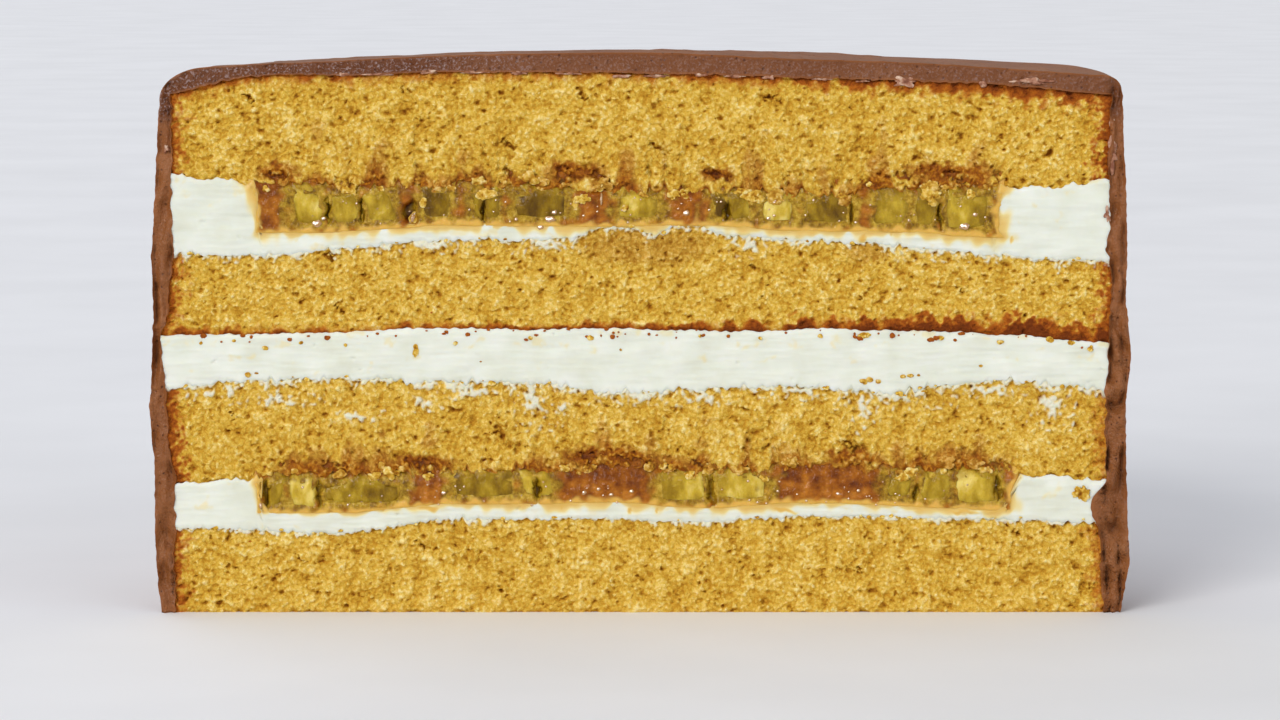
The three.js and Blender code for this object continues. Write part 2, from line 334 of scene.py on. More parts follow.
sponge = {
    "cell": 0.2, "slab": 3.0, "lip": 0.18, "lipReach": 0.6,
    "grains": [{"size": 0.7, "depth": 0.5}, {"size": 1.3, "depth": 0.3}],
    "clump": {"size": 2.3, "depth": 0.35},
    "pores": [
        {"size": 1.3, "share": 0.55, "depth": 0.6, "reach": 0.55},
        {"size": 2.6, "share": 0.26, "depth": 0.7, "reach": 0.3},
        {"size": 5.5, "share": 0.22, "depth": 1.0, "reach": 0.2},
    ],
    "cavityDepth": 0.8,
}
seamSmears = {"sponge_1": 0.9, "sponge_2": 1.8, "sponge_3": 1.4}
spongeLayers = {
    "sponge_1": {
        "low": lambda x: 0.0, "high": lambda x: seamZ("sponge1Top", x), "seed": 1,
        "crust": {"top": 0, "bottom": 0.3, "left": 0.6, "right": 0.45}, "soak": 0, "stainShare": 1, "stains": [],
        "cavities": [(63.2, 14.2, 1.9, 1.7), (-57.7, 9.1, 1.2, 0.8), (0.0, 5.6, 1.3, 0.8),
                     (37.3, 7.4, 1.3, 0.8), (-23.8, 3.9, 1.3, 0.8), (-37.3, 11.6, 1.2, 0.8)],
        "smears": [],
    },
    "sponge_2": {
        "low": lambda x: seamZ("sponge2Bottom", x), "high": lambda x: seamZ("sponge2Top", x), "seed": 2,
        "crust": {"top": 0, "bottom": 0, "left": 0.75, "right": 0.4}, "soak": 4.4,
        "stainShare": 1, "stains": [(-5.4, 26.4, 24, 6), (-37, 25.4, 16, 4), (36, 26.5, 14, 4)],
        "cavities": [(-24.3, 31.0, 3.2, 2.5), (-19.6, 28.4, 2.0, 0.8), (-69.6, 34.4, 1.3, 0.8),
                     (-69.0, 33.0, 1.2, 0.8), (-60.9, 25.5, 1.9, 1.3), (35.9, 28.4, 4.2, 1.0),
                     (-8.4, 26.6, 7, 1.8), (-1.4, 25.8, 6, 2.0), (-37.2, 25.4, 7, 1.5), (-52.5, 25.2, 5, 1.3),
                     (10.2, 25.3, 4.1, 1.3), (60.9, 25.5, 4.0, 1.3)],
        "smears": [(-18.2, 36.1, 3.5, 5.9), (-13.2, 35.2, 1.4, 3.4), (-73.1, 37.4, 2.5, 1.3),
                   (-69.2, 37.8, 1.9, 2.4), (-61.7, 36.2, 8.4, 1.3), (-36.3, 35.9, 3.4, 1.7),
                   (-48.2, 33.5, 5.1, 1.2), (37.8, 35.5, 2.7, 5.1), (42.6, 37.4, 11.1, 2.8),
                   (69.6, 35.4, 4.4, 4.4), (0.0, 36.8, 8.4, 1.6), (10.1, 36.6, 6.7, 1.6),
                   (-28.7, 37.8, 8.4, 1.6), (58.3, 38.1, 10.1, 1.6), (27.0, 37.7, 8.4, 1.6)],
    },
    "sponge_3": {
        "low": lambda x: seamZ("sponge3Bottom", x), "high": lambda x: seamZ("sponge3Top", x), "seed": 3,
        "crust": {"top": 0, "bottom": 0.95, "left": 0.6, "right": 0.6}, "soak": 0,
        "stainShare": 0.4, "stains": [(1, 62.5, 30, 9), (38, 61.5, 9, 5)],
        "cavities": [(-46.6, 57.6, 1.5, 1.5), (-52.2, 60.5, 2.4, 1.2), (-51.1, 52.0, 1.2, 1.0),
                     (-1.3, 62.6, 1.3, 1.0), (19.0, 58.8, 1.2, 1.0), (53.9, 55.0, 1.3, 0.8),
                     (-20.2, 55.0, 1.3, 0.8), (37.1, 53.4, 1.5, 1.0)],
        "smears": [(18.5, 62.5, 3.7, 2.4), (50.5, 62.1, 9.1, 2.4), (-35.3, 62.8, 8.7, 1.8),
                   (-16.0, 62.8, 7.1, 1.8)],
    },
    "sponge_4": {
        "low": lambda x: seamZ("sponge4Bottom", x), "high": lambda x: seamZ("sponge4Top", x), "seed": 4,
        "crust": {"top": 0.85, "bottom": 0, "left": 0.6, "right": 0.8}, "soak": 5.2,
        "stainShare": 1, "stains": [(-61, 75, 10, 4), (-11, 75, 14, 4.5), (13, 74.5, 8, 3.4), (52, 75, 22, 4)],
        "cavities": [(-39.9, 89.0, 2.4, 1.3), (-10.1, 87.9, 2.7, 1.3), (2.5, 79.1, 2.2, 1.7),
                     (-22.3, 79.6, 3.0, 1.2), (-22.7, 75.3, 2.0, 1.2), (-61.3, 74.3, 6, 1.7),
                     (-13, 74.4, 5, 2.0), (-7, 74.0, 4, 2.0), (12.6, 74.3, 5.1, 1.5), (44, 74.3, 4, 1.7),
                     (53, 74.3, 5, 1.7), (60, 74.5, 3, 1.7), (21.8, 87.4, 4.4, 1.5), (60.3, 89.0, 2.7, 1.3),
                     (-65.4, 87.0, 1.7, 1.0)],
        "smears": [],
    },
}
# Width of the baked crust at nine places along the cut, thickest to the right.
crustWidths = {"sponge_3": [1.7, 1.4, 1.3, 1.2, 1.3, 1.9, 2.6, 3.3, 3.8],
               "sponge_4": [2.4, 2.4, 2.4, 2.2, 2.2, 2.4, 2.8, 3.2, 3.6], "sponge_1": [0.8] * 9}
# How dark the crust is along the cut, browner to the right.
crustShades = {"sponge_1": [0.8] * 9, "sponge_2": [0.0] * 9,
               "sponge_3": [0.85, 0.82, 0.75, 0.75, 0.9, 1.15, 1.4, 1.55, 1.6],
               "sponge_4": [0.7, 0.7, 0.62, 0.58, 0.64, 0.8, 1.0, 1.1, 1.15]}
edgeCrustWidth = 3.4
wellReach = 64


def alongCut(values, x):
    place = clamp((x / mm + 79) / 158 * 8, 0, 7.999)
    return mix(values[int(place)], values[int(place) + 1], place % 1)


def poreDepth(x, z, pore, seed):
    size = pore["size"] * mm
    spot = Vector((x / size * 0.85, seed * 3.1, z / size * 1.1))
    spot += 0.34 * noise.noise_vector(spot * 2.3)
    distances, points = noise.voronoi(spot)
    chance = 0.5 + 0.5 * noise.cell(points[0] * 9.7)
    if chance > pore["share"]:
        return 0.0
    reach = pore["reach"] * mix(1.15, 0.55, chance / pore["share"])
    return pore["depth"] * smooth(1 - distances[0] / reach)


def grainHeight(x, z, size, seed):
    # the torn crumb stands in rounded grains, each with a height of its own
    spot = Vector((x / (size * mm), seed, z / (size * mm)))
    spot += 0.55 * noise.noise_vector(spot * 1.3)
    distances, points = noise.voronoi(spot)
    return (0.5 + 0.5 * noise.cell(points[0] * 9.7)) * (1 - smooth(distances[0] / 0.75))


def shapeCrumb(name, layer, front, marks):
    clump = sponge["clump"]
    for vert in front:
        x, z = vert.co.x, vert.co.z
        low, high = layer["low"](x), layer["high"](x)
        fine = lump(x, 0.01 * layer["seed"], z, 0.6 * mm, 3)
        slow = lump(x, 0.01 * layer["seed"], z, clump["size"] * mm, 8)
        ragged = lump(x, 0, z, 1.6 * mm, 12 + layer["seed"]) + 0.5 * lump(x, 0, z, 0.7 * mm, 17)
        depth = clump["depth"] * (0.4 - 0.8 * slow) - 0.25 * fine
        for grain in sponge["grains"]:
            depth += grain["depth"] * (1 - grainHeight(x, z, grain["size"], layer["seed"] + grain["size"]))
        for pore in sponge["pores"]:
            depth += poreDepth(x, z, pore, layer["seed"] + pore["size"])
        for spot in layer["cavities"]:
            if abs(x / mm - spot[0]) < spot[2] and abs(z / mm - spot[1]) < spot[3]:
                depth += sponge["cavityDepth"] * smooth(1.3 * inSpot(spot, x, z, 1.6 * ragged + 0.8 * fine))
        smear = 0.0
        for spot in layer["smears"]:
            if abs(x / mm - spot[0]) < spot[2] and abs(z / mm - spot[1]) < spot[3]:
                streak = lump(x * 0.6 + z, 0, z * 0.4 - x, 0.9 * mm, 4)
                smear = max(smear, smooth(2.0 * inSpot(spot, x, z, 0.9 * ragged) + 1.5 * streak - 0.25))
        if name in seamSmears:
            reach = seamSmears[name] * (0.75 + 1.6 * lump(x, 0, z * 0.5, 2.1 * mm, layer["seed"] + 50))
            smear = max(smear, 0.95 * smooth(1.3 - 2.2 * (high - z) / mm / max(reach, 0.2) + 1.7 * fine + 0.8 * ragged))
        stain = 0.0
        for spot in layer["stains"]:
            stain = max(stain, layer["stainShare"] * smooth(1.8 * inSpot(spot, x, z, 1.2 * ragged)))
        crust = layer["crust"]
        broken = clamp(0.85 + 1.0 * lump(x, 0, 0, 2.6 * mm, layer["seed"] + 61))
        width = alongCut(crustWidths.get(name, [1.0] * 9), x) * (1 + 0.9 * ragged)
        baked = broken * alongCut(crustShades[name], x)
        edges = [
            baked * crust["top"] * clamp(1.1 - (high - z) / mm / width),
            baked * crust["bottom"] * clamp(1.15 - (z - low) / mm / width),
            crust["left"] * clamp(1 + 0.6 * fine - (x - stackEnd(-1, z)) / mm / (edgeCrustWidth * (1 + ragged))),
            crust["right"] * clamp(1 + 0.6 * fine - (stackEnd(1, z) - x) / mm / (edgeCrustWidth * (1 + ragged))),
        ]
        if layer["soak"] and abs(x) < wellReach * mm:
            reach = layer["soak"] * (1 + 0.9 * slow + 0.5 * ragged)
            edge = smooth((wellReach - abs(x) / mm) / 5)
            reach *= clamp(0.5 + 2.2 * lump(x, 0, z * 0.3, 4.2 * mm, layer["seed"] + 30), 0.15, 1.4)
            stain = max(stain, edge * clamp(1.25 - (z - low) / mm / reach))
        stain *= mix(0.55, 1, clamp((depth - 0.1) / 0.7))
        depth *= 1 - 0.6 * smear
        lip = sponge["lip"] * (1 - smooth(min(z - low, high - z) / mm / sponge["lipReach"]))
        vert.co.y += (depth + lip - 0.3) * mm
        # pit: the deeper the crumb lies, the darker its colour, as painted shade in the pores
        vert[marks["pit"]] = clamp((depth - 0.35) / 1.35)
        vert[marks["crust"]] = clamp(max(edges))
        vert[marks["soak"]] = clamp(stain)
        vert[marks["smear"]] = smear


# Butter sponge, baked in a ring and sawn through: open crumb, brown at the baked edges; its colour is painted darker
# amber the deeper the crumb lies in its pores, partly the crumb's own amber and partly painted shade.
spongeCrumb, tree, place = startMaterial("butterSpongeCrumb")
pit = addNode(tree, "ShaderNodeAttribute", {"attribute_name": "pit"}).outputs["Fac"]
crust = addNode(tree, "ShaderNodeAttribute", {"attribute_name": "crust"}).outputs["Fac"]
soak = addNode(tree, "ShaderNodeAttribute", {"attribute_name": "soak"}).outputs["Fac"]
smear = addNode(tree, "ShaderNodeAttribute", {"attribute_name": "smear"}).outputs["Fac"]
swirl = addNode(tree, "ShaderNodeTexNoise", {"Scale": 1 / (0.9 * mm), "Detail": 3.0}, {"Vector": place})
swirled = addNode(tree, "ShaderNodeVectorMath", {"operation": "MULTIPLY_ADD", 1: (1.1 * mm,) * 3}, {
    0: swirl.outputs["Color"], 2: place})
grains = addNode(tree, "ShaderNodeTexVoronoi", {"Scale": 1 / (0.7 * mm), "Detail": 2.0, "Roughness": 0.6},
                 {"Vector": swirled.outputs[0]})  # uneven grains of 0.7 mm and less
patches = addNode(tree, "ShaderNodeTexNoise", {"Scale": 1 / (4.5 * mm), "Detail": 4.0, "Roughness": 0.6},
                  {"Vector": place})  # paler and deeper patches of 4.5 mm
# darker the further from a grain's middle: painted shade between the grains, also on the crust
grainGapShade = addNode(tree, "ShaderNodeMath", {"operation": "MULTIPLY_ADD", 1: 0.44, 2: -0.42},
                     {0: grains.outputs["Distance"]})
patchShift = addNode(tree, "ShaderNodeMath", {"operation": "MULTIPLY_ADD", 1: 0.3, 2: -0.15},
                     {0: patches.outputs["Fac"]})
shade = addNode(tree, "ShaderNodeMath", {"operation": "ADD"},
                {0: grainGapShade.outputs[0], 1: patchShift.outputs[0]})
shade = addNode(tree, "ShaderNodeMath", {"operation": "ADD"}, {0: pit, 1: shade.outputs[0]})
crumbColour = addNode(tree, "ShaderNodeValToRGB", {"stops": [
    (0.0, "#F8E29A"), (0.16, "#EECD70"), (0.36, "#DDB446"), (0.62, "#C39027"), (1.0, "#8A500A")]},
    {"Fac": shade.outputs[0]})
soakColour = addNode(tree, "ShaderNodeValToRGB", {"stops": [
    (0.0, "#CE9024"), (0.25, "#B4700E"), (0.5, "#8E4C05"), (1.0, "#5C2603")]}, {"Fac": shade.outputs[0]})
crustColour = addNode(tree, "ShaderNodeValToRGB", {"stops": [
    (0.0, "#CE9034"), (0.35, "#BC6C1C"), (0.7, "#9A4E12"), (1.0, "#74350D")]})
crustShade = addNode(tree, "ShaderNodeMath", {"operation": "ADD"}, {0: crust, 1: grainGapShade.outputs[0]})
tree.links.new(crustShade.outputs[0], crustColour.inputs["Fac"])
soaked = addNode(tree, "ShaderNodeMixRGB", {}, {
    "Fac": soak, "Color1": crumbColour.outputs["Color"], "Color2": soakColour.outputs["Color"]})
crustEdge = addNode(tree, "ShaderNodeMapRange", {"From Min": 0.12, "From Max": 0.5}, {"Value": crust})
crusted = addNode(tree, "ShaderNodeMixRGB", {}, {
    "Fac": crustEdge.outputs[0], "Color1": soaked.outputs["Color"], "Color2": crustColour.outputs["Color"]})
smeared = addNode(tree, "ShaderNodeMixRGB", {"Color2": toLinear("#E6E3CC")}, {
    "Fac": smear, "Color1": crusted.outputs["Color"]})
wet = addNode(tree, "ShaderNodeMapRange", {"To Min": 0.85, "To Max": 0.42}, {"Value": soak})
tooth = addNode(tree, "ShaderNodeTexNoise", {"Scale": 1 / (0.28 * mm), "Detail": 2.0}, {"Vector": place})
bumpFine = addNode(tree, "ShaderNodeBump", {"Strength": 0.5, "Distance": 0.1 * mm},
                   {"Height": tooth.outputs["Fac"]})
bump = addNode(tree, "ShaderNodeBump", {"invert": True, "Strength": 0.7, "Distance": 0.25 * mm},
               {"Height": grains.outputs["Distance"], "Normal": bumpFine.outputs["Normal"]})
shader = addNode(tree, "ShaderNodeBsdfPrincipled", {
    "IOR": 1.4, "Specular IOR Level": 0.2, "Subsurface Weight": 0.15, "Subsurface Scale": 0.6 * mm,
    "Subsurface Radius": (1.0, 0.55, 0.2)}, {
    "Base Color": smeared.outputs["Color"], "Roughness": wet.outputs[0], "Normal": bump.outputs["Normal"]})
endMaterial(tree, shader)

for name, layer in spongeLayers.items():
    bm, front, marks = frontSlab(layer["low"], layer["high"], lambda z: (stackEnd(-1, z), stackEnd(1, z)),
                                 sponge["cell"] * mm, sponge["slab"] * mm, ("pit", "crust", "soak", "smear"))
    shapeCrumb(name, layer, front, marks)
    addBody(bm, name, sponge["slab"] * mm)
    finishPiece(bm, "crumb_" + name[-1], spongeCrumb, name)
    print("sponge layer", name)


# Cream: the seam in the middle and the two piped trays

cream = {"cell": 0.3, "slab": 3.0, "drag": 0.12, "swell": 0.3, "holes": 0.4, "lip": 0.16}
creamLayers = {
    "cream_lower": {
        "low": lambda x: seamZ("sponge1Top", x), "high": lowerTrayTop, "seed": 5,
        "tray": "lowerTray", "tint": [0.35, 0.1, 0.35, 0.55, 0.7, 0.55, 0.45, 0.6, 0.6],
        "drips": [(-57.6, 18.1, 3.1, 3.4), (-12.7, 17.5, 1.3, 2.4), (-1.7, 17.5, 1.3, 2.4),
                  (2.9, 17.5, 1.3, 2.4), (54.2, 17.5, 8.7, 1.6), (24, 17.6, 6, 1.4), (-36, 17.8, 8, 1.6)],
    },
    "cream_middle": {
        "low": lambda x: seamZ("sponge2Top", x), "high": lambda x: seamZ("sponge3Bottom", x), "seed": 6,
        "tray": None, "tint": [0.0] * 9,
        "drips": [],
    },
    "cream_upper": {
        "low": lambda x: seamZ("sponge3Top", x), "high": upperTrayTop, "seed": 7,
        "tray": "upperTray", "tint": [0.7, 0.6, 0.5, 0.6, 0.8, 0.7, 0.5, 0.7, 1.1],
        "drips": [(-58.0, 64.8, 1.2, 1.6), (-24.4, 65.9, 1.7, 2.2), (37.5, 63.8, 2.4, 4.6),
                  (62.2, 63.8, 1.3, 2.2), (42.0, 64.8, 0.9, 1.5), (56.4, 63.8, 1.2, 1.5),
                  (-55, 65.4, 6, 1.4), (-5, 65.4, 9, 3), (8, 65.2, 7, 2.6)],
    },
}


def shapeCream(name, layer, front, stainLayer):
    for vert in front:
        if layer["tray"]:
            side = 1 if vert.co.x > 0 else -1
        x, z = vert.co.x, vert.co.z
        drag = lump(x * 0.12, 0.01 * layer["seed"], z, 0.55 * mm, layer["seed"])
        swell = lump(x * 0.5, 0.01 * layer["seed"], z, 2.6 * mm, layer["seed"] + 3)
        hole = poreDepth(x, z, {"size": 1.9, "share": 0.16, "depth": cream["holes"], "reach": 0.24},
                         layer["seed"])
        edge = min(z - layer["low"](x), layer["high"](x) - z) / mm
        lip = cream["lip"] * (1 - smooth(edge / 0.6))
        vert.co.y += (0.1 + cream["drag"] * drag + cream["swell"] * swell + hole + lip) * mm
        buttery = lump(x * 0.7, 0, z, 2.2 * mm, layer["seed"] + 31) + 0.4 * lump(x, 0, z, 0.8 * mm, 35)
        stain = 0.22 * smooth(2.4 * buttery - 0.3 - 0.14 * (layer["high"](x) - z) / mm)
        if layer["tray"]:
            wall = onLine(wells[name][side], 0, mm, z)
            within = clamp(x, wells[name][-1][20] + 2 * mm, wells[name][1][20] - 2 * mm)
            floorZ = onLine(seamLines[layer["tray"]], stationStart, stationStep, within)
            near = math.hypot(max(side * (x - wall), 0), max(floorZ - z, 0)) / mm
            tint = alongCut(layer["tint"], x)
            ragged = lump(x, 0, z * 0.4, 1.7 * mm, layer["seed"] + 20)
            slow = lump(x, 0, z, 3.6 * mm, layer["seed"] + 26)
            reach = (0.5 + 2.4 * tint) * (1 + 0.9 * ragged + 0.9 * slow)
            stain = max(stain, 0.6 * smooth(1.1 - near / max(reach, 0.4)))
            for spot in layer["drips"]:
                stain = max(stain, 0.6 * smooth(1.3 * inSpot(spot, x, z, 0.9 * ragged)))
        vert[stainLayer] = clamp(stain)


# Cream cheese frosting, whipped and piped: dense, satin, dragged by the knife, yellowed where caramel soaks in.
frosting, tree, place = startMaterial("whippedCreamFrosting")
stain = addNode(tree, "ShaderNodeAttribute", {"attribute_name": "stain"}).outputs["Fac"]
cloud = addNode(tree, "ShaderNodeTexNoise", {"Scale": 1 / (5 * mm), "Detail": 4.0}, {"Vector": place})
whites = addNode(tree, "ShaderNodeValToRGB", {"stops": [
    (0.3, "#DBDDCC"), (0.5, "#E1E4D7"), (0.72, "#E7E9DF")]}, {"Fac": cloud.outputs["Fac"]})
soaking = addNode(tree, "ShaderNodeValToRGB", {"stops": [
    (0.0, "#E4E0C4"), (0.3, "#E6D596"), (0.62, "#DCB052"), (1.0, "#AE6C1A")]}, {"Fac": stain})
soakEdge = addNode(tree, "ShaderNodeMapRange", {"From Max": 0.35}, {"Value": stain})
tinted = addNode(tree, "ShaderNodeMixRGB", {}, {
    "Fac": soakEdge.outputs[0], "Color1": whites.outputs["Color"], "Color2": soaking.outputs["Color"]})
stretch = addNode(tree, "ShaderNodeMapping", {"Scale": (0.16, 1.0, 1.0)}, {"Vector": place})
dragMarks = addNode(tree, "ShaderNodeTexNoise", {"Scale": 1 / (0.6 * mm), "Detail": 3.0},
                    {"Vector": stretch.outputs["Vector"]})  # knife marks 0.6 mm apart
bump = addNode(tree, "ShaderNodeBump", {"Strength": 0.35, "Distance": 0.1 * mm},
               {"Height": dragMarks.outputs["Fac"]})
wet = addNode(tree, "ShaderNodeMapRange", {"To Min": 0.5, "To Max": 0.25}, {"Value": stain})
shader = addNode(tree, "ShaderNodeBsdfPrincipled", {
    "IOR": 1.45, "Specular IOR Level": 0.4, "Subsurface Weight": 0.5, "Subsurface Scale": 1.2 * mm,
    "Subsurface Radius": (1.0, 0.85, 0.6)}, {
    "Base Color": tinted.outputs["Color"], "Roughness": wet.outputs[0], "Normal": bump.outputs["Normal"]})
endMaterial(tree, shader)

for name, layer in creamLayers.items():
    bm, front, marks = frontSlab(layer["low"], layer["high"], lambda z: (stackEnd(-1, z), stackEnd(1, z)),
                                 cream["cell"] * mm, cream["slab"] * mm, ("stain",))
    shapeCream(name, layer, front, marks["stain"])
    addBody(bm, name, cream["slab"] * mm)
    finishPiece(bm, name.replace("cream", "frosting"), frosting, name)
    print("cream", name)


# Stewed fruit: diced pieces that the cut slices through

fruit = {"cuts": 23, "corner": (2.1, 3.0), "wobble": 1.0, "wider": 1.5, "taller": 1.1, "lift": 0.5,
         "lean": 0.45, "front": 0.1, "crackDepth": 1.6}
# How yellow each piece is at its left and right side: 0 dark olive, 1 pale yellow.
fruitTones = {
    "lower": [(0.3, 0.35), (0.75, 0.95), (0.62, 0.2), (0.22, 0.34), (0.75, 0.5), (0.35, 0.85), (0.55, 0.95),
              (0.3, 0.55), (0.4, 0.6), (0.98, 0.3)],
    "upper": [(0.5, 0.7), (0.4, 0.62), (0.6, 0.42), (0.12, 0.3), (0.2, 0.5), (0.12, 0.2), (0.85, 0.4), (0.05, 0.45),
              (0.9, 0.75), (0.45, 0.05), (0.3, 0.62), (0.3, 0.42), (0.72, 0.28)],
}


caramelLayers = {
    "caramel_lower": {
        "tray": "cream_lower", "floor": "lowerTray", "ceiling": "sponge2Bottom", "tier": "lower", "seed": 80,
        "cracks": [(-54.5, 20.2, 1.6, 6), (12.0, 21.0, 1.8, 6.5), (-63.6, 20.4, 2.0, 6.5), (60.6, 21.4, 1.6, 6),
                   (46.6, 20.4, 1.2, 5), (-17.5, 21, 1.2, 5)],
        "swells": [(-35.9, 20.5, 8, 5), (-5.5, 20.5, 16, 5.5), (31, 20.5, 18, 6)],
    },
    "caramel_upper": {
        "tray": "cream_upper", "floor": "upperTray", "ceiling": "sponge4Bottom", "tier": "upper", "seed": 90,
        "cracks": [(-38.8, 68.4, 3.2, 6), (-52.6, 68.5, 1.3, 6), (-47, 68.5, 1.0, 6), (50.3, 67.7, 1.2, 6),
                   (-26.5, 68.4, 1.2, 5), (14.6, 68.2, 1.2, 5), (35.4, 68.0, 1.2, 5)],
        "swells": [(-61.5, 68.8, 6, 6), (-30, 68.8, 3, 5), (-7.8, 69, 7, 6), (7.9, 68.6, 8, 6), (37.5, 69, 5, 6),
                   (60.6, 68.5, 4, 6)],
    },
}


def inCracks(layer, x, z, wobble):
    return max(smooth(1.5 * inSpot(spot, x, z, 0.8 * wobble)) for spot in layer["cracks"])


def makeFruit(tier, index, tones, material):
    node = "fruit_%s_%d" % (tier, index)
    low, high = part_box(node)
    middle = (low + high) / 2
    half = (high - low) / 2 + Vector((fruit["wider"] / 2, 0, fruit["taller"])) * mm
    seed = index * 1.7 + (40 if tier == "upper" else 0)
    lean = fruit["lean"] * noise.cell(Vector((seed, 5, 2)))
    power = mix(*fruit["corner"], 0.5 + 0.5 * noise.cell(Vector((seed, 3, 7))))
    bm = bmesh.new()
    bmesh.ops.create_cube(bm, size=2)
    bmesh.ops.subdivide_edges(bm, edges=bm.edges, cuts=fruit["cuts"], use_grid_fill=True)
    tone = bm.verts.layers.float.new("tone")
    glaze = bm.verts.layers.float.new("glaze")
    for vert in bm.verts:
        unit = vert.co.copy()
        norm = (abs(unit.x) ** power + abs(unit.y) ** power + abs(unit.z) ** power) ** (1 / power)
        unit *= max(abs(unit.x), abs(unit.y), abs(unit.z)) / norm
        shift = 1 + fruit["wobble"] * mm / half.z * lump(unit.x * half.x, unit.y * half.y, unit.z * half.z,
                                                        1.9 * mm, seed)
        x = middle.x + (unit.x * half.x + lean * unit.z * half.z) * shift
        z = middle.z + unit.z * half.z * shift + fruit["lift"] * mm
        y = middle.y + unit.y * half.y
        slice = cutY + (fruit["front"] + 0.3 * lump(x, 0, z, 1.5 * mm, seed)
                        + 0.5 * smooth((max(abs(unit.x), abs(unit.z)) - 0.6) / 0.4)
                        + 0.7 * smooth((unit.z - 0.2) / 0.7)) * mm
        crack = inCracks(caramelLayers["caramel_" + tier], x, z, lump(x, 0, z, 1.3 * mm, seed + 2))
        slice += fruit["crackDepth"] * crack * mm
        vert.co = (x, max(y, slice), z)
        # tone: the piece's own tone, darker towards its sides, with painted shade in the cracks
        vert[tone] = clamp(mix(*tones, 0.5 + 0.5 * unit.x) + 0.36 * lump(x * 1.3, y, z * 0.8, 2.0 * mm, seed + 9)
                           - 0.25 * smooth(2 * abs(unit.x) - 1) - 0.8 * crack)
        rim = max(abs(unit.x) * 0.9, unit.z * 1.2, -unit.z * 0.85)
        blotch = lump(x, y, z, 2.4 * mm, seed + 4) + 0.5 * lump(x, y, z, 1.0 * mm, seed + 7)
        vert[glaze] = smooth((rim - 0.5) / 0.5 + 0.85 * blotch)
    bmesh.ops.recalc_face_normals(bm, faces=bm.faces)
    return finishPiece(bm, "diced_%s_%d" % (tier, index), material, node)


def addJuice(tree, place):
    # juice between fruit and caramel: the same in both materials, so that one runs into the other
    cloudy = addNode(tree, "ShaderNodeTexNoise", {"Scale": 1 / (1.1 * mm), "Detail": 4.0, "Roughness": 0.65},
                     {"Vector": place})  # cloudy grains of 1.1 mm
    wetGrain = addNode(tree, "ShaderNodeTexNoise", {"Scale": 1 / (0.5 * mm), "Detail": 2.0}, {"Vector": place})
    bumpWet = addNode(tree, "ShaderNodeBump", {"Strength": 1.0, "Distance": 0.16 * mm},
                      {"Height": wetGrain.outputs["Fac"]})  # gives the tiny wet glints
    juice = addNode(tree, "ShaderNodeValToRGB", {"stops": [
        (0.3, "#CCAA42"), (0.45, "#AE8A24"), (0.58, "#8C6812"), (0.72, "#5E3E08")]},
        {"Fac": cloudy.outputs["Fac"]})
    return cloudy, bumpWet, juice


# Stewed green fruit, diced and glazed with caramel: translucent flesh with fine upright fibres, wet; each piece is
# darker towards its left and right sides, and painted shade darkens it in the cracks.
fruitFlesh, tree, place = startMaterial("stewedFruitFlesh")
tone = addNode(tree, "ShaderNodeAttribute", {"attribute_name": "tone"}).outputs["Fac"]
glaze = addNode(tree, "ShaderNodeAttribute", {"attribute_name": "glaze"}).outputs["Fac"]
upright = addNode(tree, "ShaderNodeMapping", {"Scale": (1.0, 1.0, 0.5)}, {"Vector": place})
fibres = addNode(tree, "ShaderNodeTexNoise", {"Scale": 1 / (0.7 * mm), "Detail": 4.0, "Roughness": 0.6},
                 {"Vector": upright.outputs["Vector"]})  # fibres 0.7 mm apart
fibreShift = addNode(tree, "ShaderNodeMath", {"operation": "MULTIPLY_ADD", 1: 0.55, 2: -0.27},
                     {0: fibres.outputs["Fac"]})
fleshTone = addNode(tree, "ShaderNodeMath", {"operation": "ADD"}, {0: tone, 1: fibreShift.outputs[0]})
flesh = addNode(tree, "ShaderNodeValToRGB", {"stops": [
    (0.0, "#5F4204"), (0.2, "#7E5E08"), (0.45, "#A38318"), (0.75, "#CAAB36"), (1.0, "#E8D072")]},
    {"Fac": fleshTone.outputs[0]})
cloudy, bumpWet, juice = addJuice(tree, place)
glazed = addNode(tree, "ShaderNodeMixRGB", {}, {
    "Fac": glaze, "Color1": flesh.outputs["Color"], "Color2": juice.outputs["Color"]})
bump = addNode(tree, "ShaderNodeBump", {"Strength": 0.6, "Distance": 0.15 * mm},
               {"Height": fibres.outputs["Fac"], "Normal": bumpWet.outputs["Normal"]})
shader = addNode(tree, "ShaderNodeBsdfPrincipled", {
    "Roughness": 0.12, "IOR": 1.38, "Specular IOR Level": 0.3, "Subsurface Weight": 0.5,
    "Subsurface Scale": 1.2 * mm, "Subsurface Radius": (1.0, 0.8, 0.25)}, {
    "Base Color": glazed.outputs["Color"], "Normal": bump.outputs["Normal"]})
endMaterial(tree, shader)

for tier, tones in fruitTones.items():
    for index, pair in enumerate(tones, 1):
        makeFruit(tier, index, pair, fruitFlesh)
print("fruit pieces done")


# Caramel round the fruit

caramel = {"cell": 0.25, "slab": 7.0, "overlap": 1.3, "lump": 0.9, "ripple": 0.3, "rimDepth": 0.9,
           "behindFruit": 2.0, "crackDepth": 1.5, "underSponge": 0.8, "upward": 1.6}


